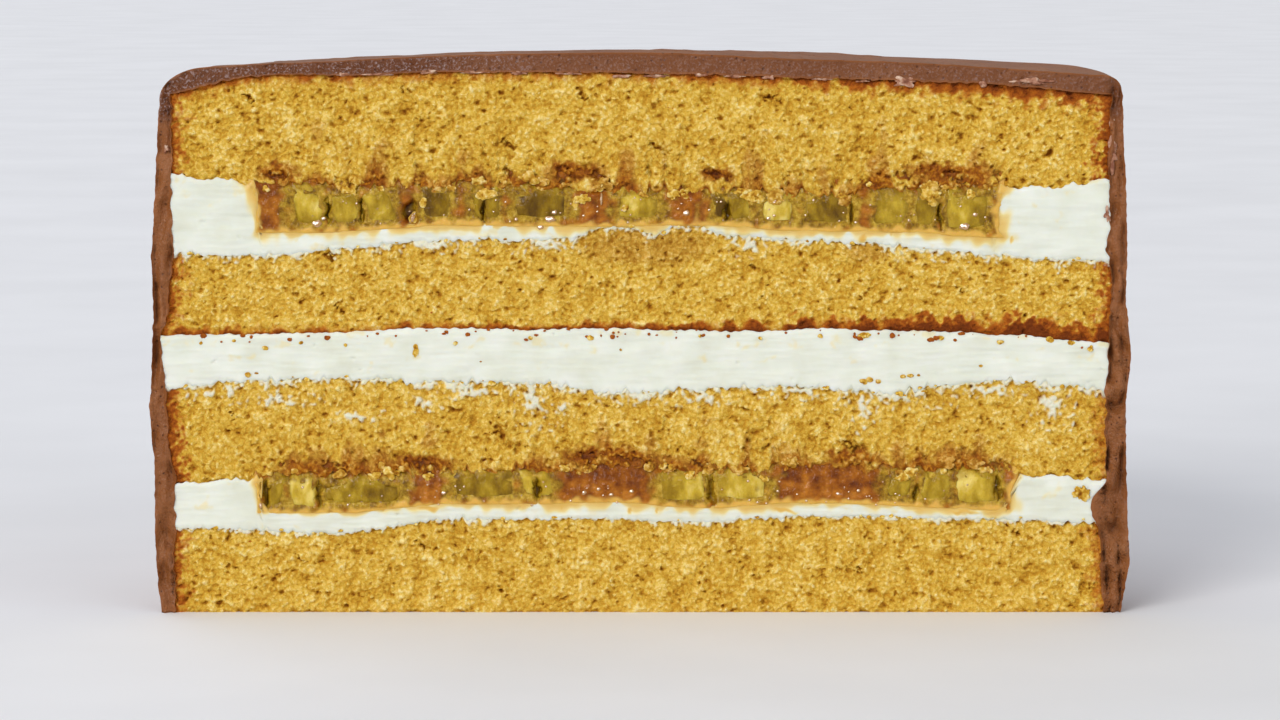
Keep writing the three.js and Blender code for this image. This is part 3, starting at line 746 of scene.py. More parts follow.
def makeCaramel(name, layer, material):
    pieces = [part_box("fruit_%s_%d" % (layer["tier"], i + 1)) for i in range(len(fruitTones[layer["tier"]]))]
    floorLine, ceilingLine = seamLines[layer["floor"]], seamLines[layer["ceiling"]]
    over = caramel["overlap"] * mm
    walls = wells[layer["tray"]]
    footZ = round(pieces[0][0].z / mm)

    def ends(z):
        return onLine(walls[-1], 0, mm, z) - over, onLine(walls[1], 0, mm, z) + over

    def low(x):
        inner = clamp(x, walls[-1][footZ] + 1.5 * mm, walls[1][footZ] - 1.5 * mm)
        return onLine(floorLine, stationStart, stationStep, inner) - over

    def high(x):
        return onLine(ceilingLine, stationStart, stationStep, x) + over + caramel["upward"] * mm

    bm, front, marks = frontSlab(low, high, ends, caramel["cell"] * mm, caramel["slab"] * mm,
                                 ("thick", "olive", "milky"))
    for vert in front:
        x, z = vert.co.x, vert.co.z
        left, right = ends(z)
        rim = min(x - left - over, right - over - x, z - low(x) - over) / mm
        under = (high(x) - over - caramel["upward"] * mm - z) / mm
        lumps = lump(x, 0, z, 1.7 * mm, layer["seed"])
        ripple = lump(x, 0, z, 0.7 * mm, layer["seed"] + 4)
        depth = caramel["rimDepth"] * (1 - smooth(rim / 0.8 + 1.3)) + mix(0.04, 0.25, smooth(rim / 1.5))
        depth += caramel["underSponge"] * (1 - smooth((under + 1.2) / 2.6))
        swell = max(smooth(1.5 * inSpot(spot, x, z, 0.6 * lumps)) for spot in layer["swells"])
        depth -= caramel["lump"] * swell * (0.5 + 0.9 * lumps) + caramel["ripple"] * ripple * (0.3 + swell)
        crack = inCracks(layer, x, z, lumps)
        depth += caramel["crackDepth"] * crack
        near, milk = -9.0, 0.75 - rim / 0.9 + 1.2 * lumps
        for lowCorner, highCorner in pieces:
            near = max(near, min(x - lowCorner.x, highCorner.x - x, z - lowCorner.z, highCorner.z - z) / mm)
        vert.co.y += max(depth, caramel["behindFruit"] * smooth((near - 0.3) / 2.6)) * mm
        vert[marks["milky"]] = smooth(milk)
        # thick: random thickness, lighter on swells, darker with depth and in the cracks as painted shade
        vert[marks["thick"]] = clamp(0.45 + 0.5 * lumps - 0.2 * swell + 0.35 * smooth(depth - 1) + 0.5 * crack)
        vert[marks["olive"]] = smooth(0.9 + near / 2.4 + 0.8 * lumps)
    addBody(bm, name, caramel["slab"] * mm)
    finishPiece(bm, name.replace("caramel", "toffee"), material, name)


# Soft salted caramel, cooked amber: glossy and wet, clear orange where thin, red-brown where thick; painted shade
# darkens it in the cracks and where it lies deepest, and it is a little lighter on the swells.
softCaramel, tree, place = startMaterial("softCaramel")
thick = addNode(tree, "ShaderNodeAttribute", {"attribute_name": "thick"}).outputs["Fac"]
olive = addNode(tree, "ShaderNodeAttribute", {"attribute_name": "olive"}).outputs["Fac"]
milky = addNode(tree, "ShaderNodeAttribute", {"attribute_name": "milky"}).outputs["Fac"]
cloudy, bumpWet, juice = addJuice(tree, place)
shade = addNode(tree, "ShaderNodeMath", {"operation": "MULTIPLY_ADD", 1: 1.1, 2: -0.55},
                {0: cloudy.outputs["Fac"]})
shade = addNode(tree, "ShaderNodeMath", {"operation": "ADD"}, {0: thick, 1: shade.outputs[0]})
amber = addNode(tree, "ShaderNodeValToRGB", {"stops": [
    (0.0, "#B97420"), (0.25, "#9F5C10"), (0.5, "#844506"), (0.75, "#632C04"), (1.0, "#3F1703")]},
    {"Fac": shade.outputs[0]})
juicy = addNode(tree, "ShaderNodeMixRGB", {}, {
    "Fac": olive, "Color1": amber.outputs["Color"], "Color2": juice.outputs["Color"]})
creamed = addNode(tree, "ShaderNodeMixRGB", {"Color2": toLinear("#DDAE50")}, {
    "Fac": milky, "Color1": juicy.outputs["Color"]})
bump = addNode(tree, "ShaderNodeBump", {"Strength": 0.7, "Distance": 0.2 * mm},
               {"Height": cloudy.outputs["Fac"], "Normal": bumpWet.outputs["Normal"]})
shader = addNode(tree, "ShaderNodeBsdfPrincipled", {
    "Roughness": 0.14, "IOR": 1.46, "Specular IOR Level": 0.24, "Subsurface Weight": 0.3,
    "Subsurface Scale": 0.9 * mm, "Subsurface Radius": (1.0, 0.5, 0.1)}, {
    "Base Color": creamed.outputs["Color"], "Normal": bump.outputs["Normal"]})
endMaterial(tree, shader)

for name, layer in caramelLayers.items():
    makeCaramel(name, layer, softCaramel)
    print("caramel", name)


# Loose crumb: torn flakes that hang over the fillings, and crumbs stuck to the cream

crumbs = {
    "thickness": 0.45, "knobble": [(0.95, 0.6), (0.42, 0.36)],
    "onSeams": [
        # seam, how many, width and height of a flake, how far beyond the seam, how soaked, how baked, reach
        ("sponge4Bottom", 40, (1.0, 3.6), (0.9, 2.2), (-0.9, 0.1), 0.4, 0, 61),
        ("sponge2Bottom", 38, (1.0, 3.2), (0.9, 1.9), (-0.9, 0.1), 0.45, 0, 61),
        ("sponge1Top", 34, (0.4, 1.0), (0.3, 0.7), (-0.3, 0.3), 0.0, 0, 78),
        ("sponge2Top", 36, (0.4, 1.3), (0.3, 0.9), (-0.5, 0.4), 0.0, 0, 78),
        ("sponge3Top", 30, (0.4, 1.0), (0.3, 0.7), (-0.3, 0.3), 0.0, 0, 78),
        ("sponge3Bottom", 60, (0.3, 1.2), (0.3, 0.9), (-0.1, 1.5), 0.3, 0.6, 77),
    ],
    "onCream": [
        (-74.2, 46.1, 0.7, 0.7), (-63.3, 45.2, 1.0, 0.7), (-38.0, 44.9, 1.0, 2.0), (-31.2, 46.1, 0.7, 0.7),
        (-8.4, 46.9, 1.0, 0.8), (37.6, 47.4, 2.4, 1.0), (-57.3, 46.1, 0.7, 0.7), (-49.8, 45.7, 0.5, 0.5),
        (-18.6, 46.9, 0.7, 0.7), (10.1, 47.3, 0.7, 0.7), (20.2, 46.9, 0.8, 0.7), (69.1, 46.6, 1.3, 1.0),
        (72.5, 46.1, 1.3, 0.8), (75.9, 45.2, 1.3, 1.0), (60.7, 46.2, 1.0, 0.8), (50.6, 46.9, 1.3, 0.8),
        (30.4, 47.3, 0.8, 0.7), (-68.6, 46.4, 0.7, 0.5), (74.8, 20.7, 3.0, 2.4),
    ],
    "flecks": [
        (37.6, 39.5, 1.3, 0.9), (38.8, 39.8, 1.2, 0.7), (40.0, 39.5, 1.0, 0.8), (44.3, 40.4, 1.0, 0.6),
        (45.6, 40.5, 1.2, 0.6), (47.0, 40.6, 0.8, 0.5), (-66.4, 40.7, 1.0, 0.9), (-65.0, 40.9, 0.9, 0.6),
        (-3.4, 44.9, 0.5, 0.5), (-27.0, 42.9, 0.5, 0.3), (57.4, 42.2, 0.7, 0.5),
    ],
    "onFruit": [
        (-49.1, 71.9, 3.0, 2.2), (-11.0, 69.8, 1.4, 2.4), (-38.2, 66.8, 1.6, 2.6), (-36.5, 69.8, 1.2, 1.4),
        (-63.0, 72.0, 1.4, 1.2), (17.0, 71.6, 2.4, 1.4), (48.6, 70.9, 3.4, 2.6), (55.5, 71.2, 1.6, 1.4),
        (-2.5, 68.9, 1.3, 1.3), (20.8, 22.9, 1.6, 1.2), (-36.0, 23.2, 2.2, 1.4), (44.3, 23.1, 2.4, 1.4),
    ],
}


def nearestFront(x, z):
    # y of the foremost surface made so far at a place on the cut
    start, way = Vector((x, cutY - 20 * mm, z)), Vector((0, 1, 0))
    hits = [surface.ray_cast(start, way, 24 * mm)[0] for surface in surfaces.values()]
    return min([hit.y for hit in hits if hit] or [cutY])


def addFlake(bm, marks, spot, soak, crustShade, seed):
    # one torn flake: a flattened ball, knobbled like the crumb, lying on whatever surface is there
    x, z, width, height = spot
    half = Vector((width, min(width, height) * crumbs["thickness"], height)) * 0.5 * mm
    centre = Vector((x * mm, 0, z * mm))
    centre.y = clamp(nearestFront(centre.x, centre.z), cutY - 0.1 * mm, cutY + 1.2 * mm) + 0.1 * half.y
    detail = 4 if max(width, height) > 1.2 else 3
    flake = bmesh.ops.create_icosphere(bm, subdivisions=detail, radius=1)["verts"]
    for vert in flake:
        out = Vector((vert.co.x * half.x, vert.co.y * half.y, vert.co.z * half.z))
        rise = sum(height * lump(*(centre + out), size * mm, seed) for size, height in crumbs["knobble"])
        vert.co = centre + out * (1 + rise)
        grain = grainHeight(vert.co.x, vert.co.z, 0.75, seed)
        vert.co.y -= 0.3 * grain * mm
        # pit on a flake: darker in its hollows and on its far side, as painted shade
        vert[marks["pit"]] = clamp(0.52 - 0.9 * rise - 0.8 * grain + 0.25 * max(out.y / half.y, 0))
        vert[marks["soak"]] = soak
        vert[marks["crust"]] = crustShade


def makeCrumbs():
    chance = random.Random(23)
    bm = bmesh.new()
    marks = {mark: bm.verts.layers.float.new(mark) for mark in ("pit", "crust", "soak", "smear")}
    spots = []
    for seam, count, widths, heights, beyond, soak, baked, reach in crumbs["onSeams"]:
        side = -1 if seam.endswith("Bottom") else 1
        for i in range(count):
            x = chance.uniform(-reach, reach)
            z = seamZ(seam, x * mm) / mm + side * chance.uniform(*beyond)
            size = chance.random() ** 1.6
            spots.append(((x, z, mix(*widths, size), mix(*heights, size) * chance.uniform(0.7, 1.2)),
                          soak * chance.uniform(0, 1.6), baked))
    spots += [(spot, 0.1, 0) for spot in crumbs["onCream"] + crumbs["onFruit"]]
    spots += [(spot, 0.3, 0.1) for spot in crumbs["flecks"]]
    for i, (spot, soak, crustShade) in enumerate(spots):
        addFlake(bm, marks, spot, soak, crustShade, i)
    return finishPiece(bm, "looseCrumb", spongeCrumb)


makeCrumbs()
print("loose crumb done")


# Drops of syrup on the fillings

syrup = {
    "face": (-0.25, -0.93, 0.285), "flat": 0.17, "knobble": 0.3,
    # small drops all over the fillings: how many, size, and the heights between which they lie
    "small": {"count": 55, "size": (0.25, 0.55), "heights": [(18.4, 22.6), (66.2, 70.6)], "reach": 61},
    "drops": [
        (-54.6, 66.3, 1.9, 1.3), (-53.4, 67.1, 0.8, 0.6), (-15.4, 67.0, 1.9, 1.1), (-16.9, 65.7, 1.2, 0.9),
        (-14.6, 68.2, 0.9, 0.8), (54.4, 65.9, 1.9, 1.3), (56.2, 67.8, 1.0, 0.7), (7.6, 68.1, 1.1, 0.9),
        (-38.4, 67.2, 0.8, 1.4), (-21.0, 67.0, 0.7, 0.6), (-6.6, 70.4, 0.5, 2.2), (21.5, 67.2, 0.8, 0.7),
        (-9.6, 20.6, 0.9, 0.7), (-7.2, 21.2, 0.7, 0.6), (-5.1, 20.3, 1.0, 0.6), (-1.6, 20.9, 0.8, 0.7),
        (33.4, 20.4, 0.9, 0.6), (36.9, 21.0, 0.7, 0.6), (-33.4, 20.6, 0.8, 0.7), (-64.4, 18.4, 0.7, 1.0),
    ],
}

# Clear syrup that has run together in drops: bright where it faces the window.
clearSyrup, tree, place = startMaterial("clearSyrup")
shader = addNode(tree, "ShaderNodeBsdfPrincipled", {
    "Base Color": toLinear("#B08040"), "Roughness": 0.12, "IOR": 1.5, "Specular IOR Level": 1.0,
    "Coat Weight": 1.0, "Coat IOR": 1.9, "Coat Roughness": 0.05})
endMaterial(tree, shader)

bm = bmesh.new()
turn = Vector(syrup["face"]).to_track_quat("Z", "Y").to_matrix().to_4x4()
chance = random.Random(31)
drops = list(syrup["drops"])
for low, high in syrup["small"]["heights"]:
    for i in range(syrup["small"]["count"]):
        reach, size = syrup["small"]["reach"], chance.uniform(*syrup["small"]["size"])
        drops.append((chance.uniform(-reach, reach), chance.uniform(low, high), size, size * 0.8))
for i, (x, z, width, height) in enumerate(drops):
    centre = Vector((x * mm, nearestFront(x * mm, z * mm), z * mm))
    shape = Matrix.Translation(centre) @ turn @ Matrix.Diagonal((width / 2, height / 2, height * syrup["flat"], 1))
    drop = bmesh.ops.create_icosphere(bm, subdivisions=4 if width > 0.6 else 3, radius=mm, matrix=shape)["verts"]
    for vert in drop:
        vert.co += (vert.co - centre) * syrup["knobble"] * lump(*vert.co, 0.5 * mm, i)
finishPiece(bm, "syrupDrops", clearSyrup)
print("syrup drops done")


# Thin crumb coat that shows between the cake and the icing: pale, pinkish where chocolate has run into it

coat = {
    "thickness": 0.4, "knobble": 1.2, "taller": 0.75,
    "spots": [
        (-50.3, 91.2, 1.7, 0.8), (-35.2, 91.4, 2.4, 0.8), (-20.1, 91.4, 3.4, 0.7), (-3.4, 90.9, 2.7, 0.8),
        (10.1, 90.9, 2.4, 0.8), (21.8, 90.7, 2.0, 0.8), (44.4, 89.7, 3.4, 1.7), (57.3, 89.5, 1.0, 1.3),
        (65.7, 90.0, 5.9, 1.2), (79.2, 83.2, 0.8, 1.5), (79.2, 78.3, 1.3, 5.7), (78.5, 67.7, 0.8, 3.4),
        (-79.6, 78.8, 0.8, 2.0), (-44.0, 91.3, 4.0, 0.5), (-28.0, 91.5, 4.5, 0.5), (2.8, 91.0, 4.2, 0.5),
        (15.6, 90.9, 3.6, 0.5), (-12.0, 91.3, 3.6, 0.5), (30.4, 90.4, 3.2, 0.5), (37.0, 90.0, 2.6, 0.5),
    ],
}

# Thin buttercream coat under the icing, streaked with chocolate.
thinCoat, tree, place = startMaterial("thinCrumbCoat")
streak = addNode(tree, "ShaderNodeTexNoise", {"Scale": 1 / (1.2 * mm), "Detail": 3.0}, {"Vector": place})
paste = addNode(tree, "ShaderNodeValToRGB", {"stops": [
    (0.35, "#7C4528"), (0.5, "#A87458"), (0.65, "#CDAE96")]}, {"Fac": streak.outputs["Fac"]})
shader = addNode(tree, "ShaderNodeBsdfPrincipled", {"Roughness": 0.35}, {"Base Color": paste.outputs["Color"]})
endMaterial(tree, shader)

bm = bmesh.new()
for i, (x, z, width, height) in enumerate(coat["spots"]):
    # each bit sits on the seam under the icing, or on the seam beside it
    if abs(x) < 76:
        z += (seamZ("sponge4Top", x * mm) - onLine(seamLines["sponge4Top"], stationStart, stationStep, x * mm)) / mm
    centre = Vector((x * mm, cutY + 0.25 * mm, z * mm))
    height *= coat["taller"]
    shape = Matrix.Translation(centre) @ Matrix.Diagonal((width / 2, coat["thickness"], height / 2, 1))
    for vert in bmesh.ops.create_icosphere(bm, subdivisions=4, radius=mm, matrix=shape)["verts"]:
        vert.co += (vert.co - centre) * coat["knobble"] * lump(*vert.co, 0.7 * mm, i)
finishPiece(bm, "crumbCoat", thinCoat)
print("crumb coat done")


# Chocolate icing: one shell over the top and round the side

icing = {
    "wallCells": 190, "topCells": 170, "around": 170, "innerAround": 24, "bandCuts": 7, "topCrowd": 1.35,
    "topStations": [-79, -66, -50, -34, -18, -4, 10, 26, 42, 60, 79],
    "topHeights": [92.4, 93.0, 93.7, 94.5, 94.9, 95.0, 94.8, 94.0, 93.5, 92.5, 91.2],
    "edgeLeft": (8.0, 5.4), "edgeRight": (3.0, 2.6),
    "blend": 25.0, "radius": 82.3,
    "waves": [(5, 0.35, 0.04), (13, 0.2, -0.09)],
    "strokeDepth": 0.6, "ridgeDepth": 0.45, "fineDepth": 0.12,
    "bevelLeft": 1.1, "bevelRight": 0.35, "bevelReach": 4.0,
    # dark pockets between icing and cake: x, z, width, height, depth
    "pockets": [(79.4, 6.5, 3.2, 5.0, 2.0), (-79.2, 7.0, 1.8, 14.0, 1.3), (-79.6, 40.0, 1.4, 7.0, 0.9),
                (79.2, 40.5, 1.8, 6.0, 1.0), (79.6, 88.0, 1.4, 6.0, 0.8)],
}


def topLine(x):
    stations, heights = icing["topStations"], icing["topHeights"]
    at = clamp(x, stations[0], stations[-1] - 0.001)
    index = max(i for i, station in enumerate(stations) if station <= at)
    share = (at - stations[index]) / (stations[index + 1] - stations[index])
    before, after = heights[max(index - 1, 0)], heights[min(index + 2, len(heights) - 1)]
    a, b = heights[index], heights[index + 1]
    slopeA, slopeB = (b - before) / 2, (after - a) / 2
    s = share
    return ((2 * s ** 3 - 3 * s ** 2 + 1) * a + (s ** 3 - 2 * s ** 2 + s) * slopeA
            + (3 * s ** 2 - 2 * s ** 3) * b + (s ** 3 - s ** 2) * slopeB)


def blended(line, x, y):
    # follows its own line at the cut and turns into a round shape behind it
    radius = math.hypot(x, y)
    return mix(line(x), (line(-radius) + line(radius)) / 2, smooth(y / icing["blend"]))


def strokes(around, up, seed):
    # marks of the spatula, drawn out along its way
    long = lump(around * 0.14, 0, up, 3.2, seed)
    ridge = 1 - abs(lump(around * 0.07, 0, up, 6.5, seed + 6)) * 6
    fine = lump(around * 0.2, 0, up, 0.9, seed + 11)
    return icing["strokeDepth"] * long + icing["ridgeDepth"] * clamp(ridge) ** 2 + icing["fineDepth"] * fine


def bevel(x, z):
    # how far the icing's outer edge at the cut is rubbed back, most along the top left
    top = mix(icing["bevelLeft"], icing["bevelRight"], smooth((x + 45) / 35))
    return mix(0.3, top, smooth((z - 80) / 8))


def outerPlace(unit):
    angle = math.atan2(max(unit.y, 0), unit.x) if unit.xy.length > 1e-6 else math.pi / 2
    share = (1 - math.cos(angle)) / 2
    width, height = (mix(r, l, share) for r, l in zip(icing["edgeRight"], icing["edgeLeft"]))
    fade = math.sin(angle) ** 2
    rimX, rimY = icing["radius"] * math.cos(angle), icing["radius"] * math.sin(angle)
    rimZ = blended(topLine, rimX, rimY) - height
    z = rimZ * unit.z
    radius = mix(onLine(outerWall[1], 0, mm, z * mm), onLine(outerWall[-1], 0, mm, z * mm), share) / mm
    for count, depth, lean in icing["waves"]:
        radius += fade * depth * math.sin(count * angle + lean * z)
    radius += (0.25 + 0.75 * fade) * (strokes(angle * 82, z, 3) - 0.15)
    radius += 0.16 * lump(0, 0, z, 1.1, 5 + 9 * round(share))
    if unit.z > 0.9999:
        inward = radius * max(1 - unit.xy.length, 0) ** icing["topCrowd"]
        out = radius - inward
        x, y = out * math.cos(angle), out * math.sin(angle)
        rise = 1 - min(inward / width, 1)
        z = blended(topLine, x, y) - height * (1 - math.sqrt(1 - rise * rise))
        flat = smooth(inward / width) * smooth(out / 12)
        z += flat * ((0.2 + 0.5 * smooth(y / 6)) * strokes(angle * 30 + 60, out * 0.7, 17) - 0.1)
    else:
        x, y = radius * math.cos(angle), radius * math.sin(angle)
    y += bevel(x, z) * (1 - smooth(y / icing["bevelReach"]))
    return Vector((x * mm, cutY + y * mm, z * mm))


def innerPlace(unit):
    angle = math.atan2(max(unit.y, 0), unit.x) if unit.xy.length > 1e-6 else math.pi / 2
    share = (1 - math.cos(angle)) / 2
    cornerZ = mix(seamZ("sponge4Top", 79 * mm), seamZ("sponge4Top", -79 * mm), share)
    z = cornerZ * unit.z
    radius = mix(stackEnd(1, z), -stackEnd(-1, z), share)
    if unit.z > 0.9999:
        radius *= 1 - max(1 - unit.xy.length, 0) ** icing["topCrowd"]
        x, y = radius * math.cos(angle), radius * math.sin(angle)
        line = (lambda at: seamZ("sponge4Top", at * mm) / mm)
        z = blended(line, x / mm, y / mm) * mm
    return Vector((radius * math.cos(angle), cutY + radius * math.sin(angle), z))


def spinShell(bm, steps, placeOf):
    # the section up the wall and in to the middle, spun half a turn, then drawn to its real place
    wall, top = icing["wallCells"], icing["topCells"]
    section = [bm.verts.new((1, 0, i / wall)) for i in range(wall)]
    section += [bm.verts.new((1 - i / top, 0, 1)) for i in range(top + 1)]
    for pair in zip(section, section[1:]):
        bm.edges.new(pair)
    bmesh.ops.spin(bm, geom=bm.verts[:] + bm.edges[:], cent=(0, 0, 0), axis=(0, 0, 1), angle=math.pi,
                   steps=steps, use_merge=False, use_duplicate=False)
    bmesh.ops.remove_doubles(bm, verts=bm.verts, dist=1e-5)
    for vert in bm.verts:
        if abs(vert.co.y) < 1e-5:
            vert.co.y = 0.0
    band = [edge for edge in bm.edges if edge.is_boundary and all(v.co.y == 0.0 for v in edge.verts)]
    foot = [edge for edge in bm.edges if edge.is_boundary and all(v.co.z < 1e-5 for v in edge.verts)]
    for vert in bm.verts:
        vert.co = placeOf(vert.co)
    return band, foot


def makeIcing(material):
    bm = bmesh.new()
    wetLayer = bm.verts.layers.float.new("wet")
    darkLayer = bm.verts.layers.float.new("dark")
    outerBand, outerFoot = spinShell(bm, icing["around"], outerPlace)
    inner = bmesh.new()
    spinShell(inner, icing["innerAround"], innerPlace)
    mesh = bpy.data.meshes.new("inner")
    inner.to_mesh(mesh)
    inner.free()
    for edge in outerBand + outerFoot:
        edge.tag = True
    kept = set(bm.edges)
    bm.from_mesh(mesh)
    bpy.data.meshes.remove(mesh)
    fresh = [edge for edge in bm.edges if edge not in kept and edge.is_boundary]
    innerBand = [edge for edge in fresh if all(abs(v.co.y - cutY) < 1e-6 for v in edge.verts)]
    innerFoot = [edge for edge in fresh if edge not in innerBand]
    bridged = bmesh.ops.bridge_loops(bm, edges=outerBand + innerBand)
    bmesh.ops.bridge_loops(bm, edges=outerFoot + innerFoot)
    outline = set(outerBand + innerBand)
    across = [edge for edge in bridged["edges"] if edge not in outline]
    split = bmesh.ops.subdivide_edges(bm, edges=across, cuts=icing["bandCuts"], use_grid_fill=True)
    for edge in outerBand + innerBand:
        edge.smooth = False
    for vert in {v for v in split["geom_inner"] if isinstance(v, bmesh.types.BMVert)}:
        x, z = vert.co.x, vert.co.z
        hole = poreDepth(x, z, {"size": 1.0, "share": 0.3, "depth": 0.35, "reach": 0.35}, 33)
        onTop = smooth((z / mm - 82) / 3)
        left = 1 - smooth((x / mm + 40) / 30)
        pebbled = mix(0.7, mix(0.5, 1.0, left), onTop)
        rubbed = 0.45 * lump(x, 0, z, 1.1 * mm, 41) + 0.5 * lump(x, 0, z, 0.6 * mm, 47)
        if abs(x) > 78 * mm:
            # folds of the spatula, deepest low down at the right end
            folded = mix(1, 0.35, smooth((z / mm - 45) / 20)) if x > 0 else 0.25
            rubbed += 2.6 * lump(x, 0, z * 0.25, 1.4 * mm, 52) + 2.3 * folded * lump(x, 0, z, 3.2 * mm, 58)
            hole += 1.6 * folded * smooth(1 - 5 * abs(lump(x, 0, z * 0.22, 2.2 * mm, 66)))
            for spot in icing["pockets"]:
                hole += spot[4] * smooth(1.5 * inSpot(spot, x, z, 0.3 * rubbed))
        vert.co.y += max(pebbled * rubbed + 0.15 + hole, -0.9) * mm
        vert[wetLayer] = max(pebbled, smooth((x / mm - 78) / 0.5) * (1 - smooth((z / mm - 45) / 20)))
        # dark: painted shade on the top band of the cut, strongest at the top left; the sides get none
        vert[darkLayer] = mix(0.0, mix(0.66, 1.0, left), onTop)
    bmesh.ops.recalc_face_normals(bm, faces=bm.faces)
    return finishPiece(bm, "chocolateIcing", material, "icing")


# Chocolate buttercream, spread cold with a spatula: satin brown, with fine air holes painted dark as shade, pale
# greyish specks painted in as glints, and painted shade on the top band of the cut.
chocolateIcing, tree, place = startMaterial("chocolateButtercream")
cloud = addNode(tree, "ShaderNodeTexNoise", {"Scale": 1 / (9 * mm), "Detail": 5.0, "Roughness": 0.6},
                {"Vector": place})
browns = addNode(tree, "ShaderNodeValToRGB", {"stops": [
    (0.3, "#834E28"), (0.5, "#8D562E"), (0.72, "#976038")]}, {"Fac": cloud.outputs["Fac"]})
wet = addNode(tree, "ShaderNodeAttribute", {"attribute_name": "wet"}).outputs["Fac"]
gloss = addNode(tree, "ShaderNodeMapRange", {"From Min": 0.3, "To Min": 0.38, "To Max": 0.22}, {"Value": wet})
airHoles = addNode(tree, "ShaderNodeTexVoronoi", {"Scale": 1 / (1.3 * mm), "Randomness": 1.0},
                   {"Vector": place})  # air holes 1.3 mm apart
holeMask = addNode(tree, "ShaderNodeMapRange", {"From Min": 0.05, "From Max": 0.22}, {
    "Value": airHoles.outputs["Distance"]})
specks = addNode(tree, "ShaderNodeTexNoise", {"Scale": 1 / (0.42 * mm), "Detail": 2.0}, {"Vector": place})
bumpSpecks = addNode(tree, "ShaderNodeBump", {"Distance": 0.45 * mm},
                     {"Height": specks.outputs["Fac"], "Strength": wet})  # glinting specks where it is rubbed wet
# pale lilac specks painted in as glints along the top band, fullest at the top left
glintMask = addNode(tree, "ShaderNodeMapRange", {"From Min": 0.52, "From Max": 0.74}, {
    "Value": specks.outputs["Fac"]})
dark = addNode(tree, "ShaderNodeAttribute", {"attribute_name": "dark"}).outputs["Fac"]
glintsOnTop = addNode(tree, "ShaderNodeMapRange", {"From Min": 0.5}, {"Value": dark})
glintShare = addNode(tree, "ShaderNodeMath", {"operation": "MULTIPLY"}, {
    0: glintMask.outputs[0], 1: glintsOnTop.outputs[0]})
# painted shade: the top band is mixed towards dark brown
topShadeAmount = addNode(tree, "ShaderNodeMapRange", {"To Max": 0.6}, {"Value": dark})
topShadedBrown = addNode(tree, "ShaderNodeMixRGB", {"Color2": toLinear("#4A2010")}, {
    "Fac": topShadeAmount.outputs[0], "Color1": browns.outputs["Color"]})
# air holes painted dark brown: painted shade in the holes
holesShadedBrown = addNode(tree, "ShaderNodeMixRGB", {"Color1": toLinear("#4A2413")}, {
    "Fac": holeMask.outputs[0], "Color2": topShadedBrown.outputs["Color"]})
glintedBrown = addNode(tree, "ShaderNodeMixRGB", {"Color2": toLinear("#A48C88")}, {
    "Fac": glintShare.outputs[0], "Color1": holesShadedBrown.outputs["Color"]})
sweep = addNode(tree, "ShaderNodeMapping", {"Scale": (0.35, 0.35, 1.0)}, {"Vector": place})
sweepMarks = addNode(tree, "ShaderNodeTexNoise", {"Scale": 1 / (1.4 * mm), "Detail": 5.0, "Roughness": 0.6},
                     {"Vector": sweep.outputs["Vector"]})  # fine drag lines of the blade
bumpHoles = addNode(tree, "ShaderNodeBump", {"Strength": 0.5, "Distance": 0.15 * mm},
                    {"Height": holeMask.outputs[0], "Normal": bumpSpecks.outputs["Normal"]})
bump = addNode(tree, "ShaderNodeBump", {"Strength": 0.5, "Distance": 0.25 * mm}, {
    "Height": sweepMarks.outputs["Fac"], "Normal": bumpHoles.outputs["Normal"]})
shader = addNode(tree, "ShaderNodeBsdfPrincipled", {
    "IOR": 1.45, "Specular IOR Level": 0.28, "Subsurface Weight": 0.08,
    "Subsurface Scale": 0.8 * mm, "Subsurface Radius": (1.0, 0.5, 0.2)}, {
    "Base Color": glintedBrown.outputs["Color"], "Normal": bump.outputs["Normal"], "Roughness": gloss.outputs[0]})
endMaterial(tree, shader)

makeIcing(chocolateIcing)
print("icing done")


# Floor, light and camera

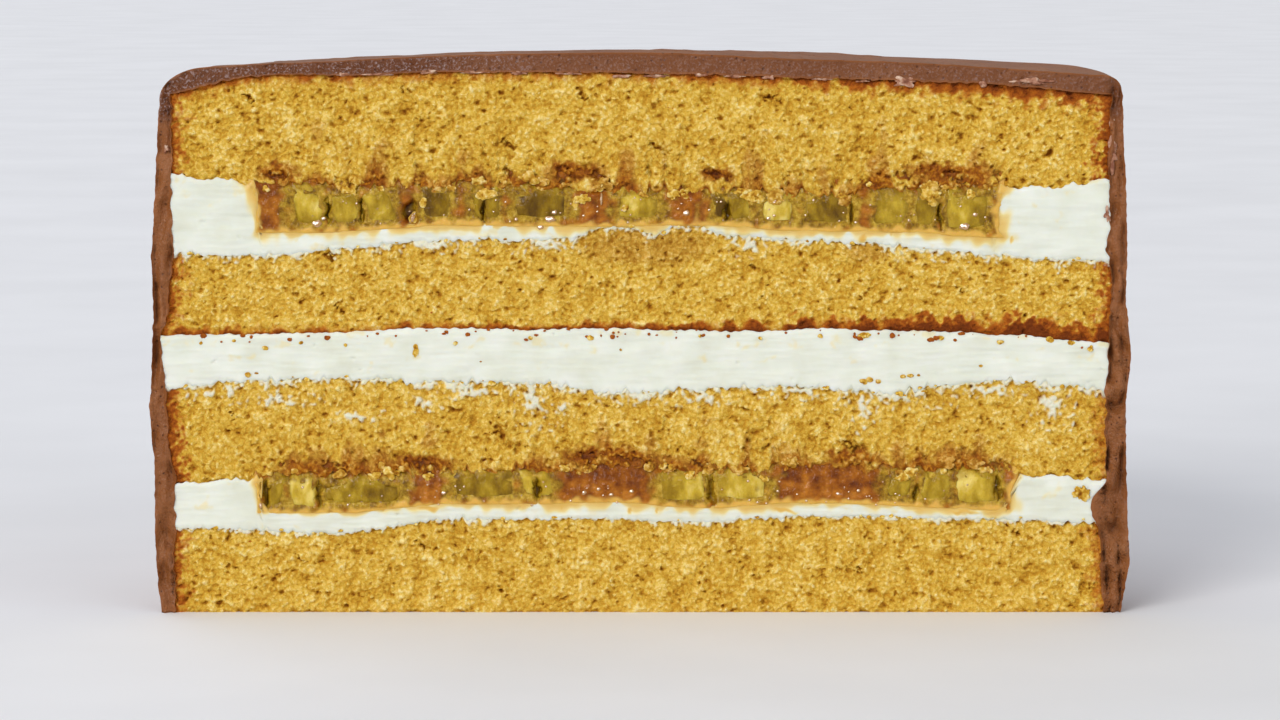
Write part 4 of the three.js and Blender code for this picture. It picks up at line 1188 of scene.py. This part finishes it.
studio = {"floor": 16.0, "world": "#F0F2F6", "worldStrength": 0.32}
floorPaint, tree, place = startMaterial("mattePaleBoard")
faint = addNode(tree, "ShaderNodeTexNoise", {"Scale": 14.0, "Detail": 3.0}, {"Vector": place})
paint = addNode(tree, "ShaderNodeValToRGB", {"stops": [(0.3, "#E6E7E9"), (0.7, "#ECEDEF")]},
                {"Fac": faint.outputs["Fac"]})
shader = addNode(tree, "ShaderNodeBsdfPrincipled", {"Roughness": 0.75}, {"Base Color": paint.outputs["Color"]})
endMaterial(tree, shader)
bm = bmesh.new()
bmesh.ops.create_grid(bm, x_segments=1, y_segments=1, size=studio["floor"] / 2)
mesh = bpy.data.meshes.new("floor")
bm.to_mesh(mesh)
bm.free()
mesh.materials.append(floorPaint)
floor = bpy.data.objects.new("floor", mesh)
bpy.context.scene.collection.objects.link(floor)

world = bpy.data.worlds.new("softRoom")
world.use_nodes = True
background = world.node_tree.nodes["Background"]
background.inputs["Color"].default_value = toLinear(studio["world"])
background.inputs["Strength"].default_value = studio["worldStrength"]
bpy.context.scene.world = world

# Wide soft lamps far away, so that the floor is lit evenly: strength, how wide they look, and where from.
softLamps = {
    "windowFront": {"strength": 1.75, "wide": 30, "from": (-0.5, -0.8, 0.5), "colour": "#FFFDFA"},
    "fillRight": {"strength": 0.75, "wide": 60, "from": (0.7, -0.7, 0.3), "colour": "#F8FAFF"},
    "skyTop": {"strength": 0.9, "wide": 70, "from": (-0.3, 0.1, 1.0), "colour": "#F6F7FC"},
    "windowBack": {"strength": 0.5, "wide": 40, "from": (-0.5, 0.8, 0.45), "colour": "#E8ECFF"},
}
for name, lamp in softLamps.items():
    data = bpy.data.lights.new(name, "SUN")
    data.energy = lamp["strength"]
    data.angle = math.radians(lamp["wide"])
    data.color = toLinear(lamp["colour"])[:3]
    light = bpy.data.objects.new(name, data)
    light.location = lamp["from"]
    light.rotation_euler = (-Vector(lamp["from"])).to_track_quat("-Z", "Y").to_euler()
    bpy.context.scene.collection.objects.link(light)

# The photo is taken from 700 mm in front of the cut, a little above the cake, tipped down.
view = {"lens": 117.3, "x": -0.1, "inFront": 700, "height": 118, "tilt": 6.10}
lens = bpy.data.cameras.new("camera")
lens.lens = view["lens"]
lens.sensor_width = 36
lens.clip_start = 0.01
camera = bpy.data.objects.new("camera", lens)
camera.location = (view["x"] * mm, cutY - view["inFront"] * mm, view["height"] * mm)
camera.rotation_euler = (math.radians(90 - view["tilt"]), 0, 0)
bpy.context.scene.collection.objects.link(camera)
bpy.context.scene.camera = camera
bpy.context.scene.view_settings.view_transform = "Standard"
print("studio done")
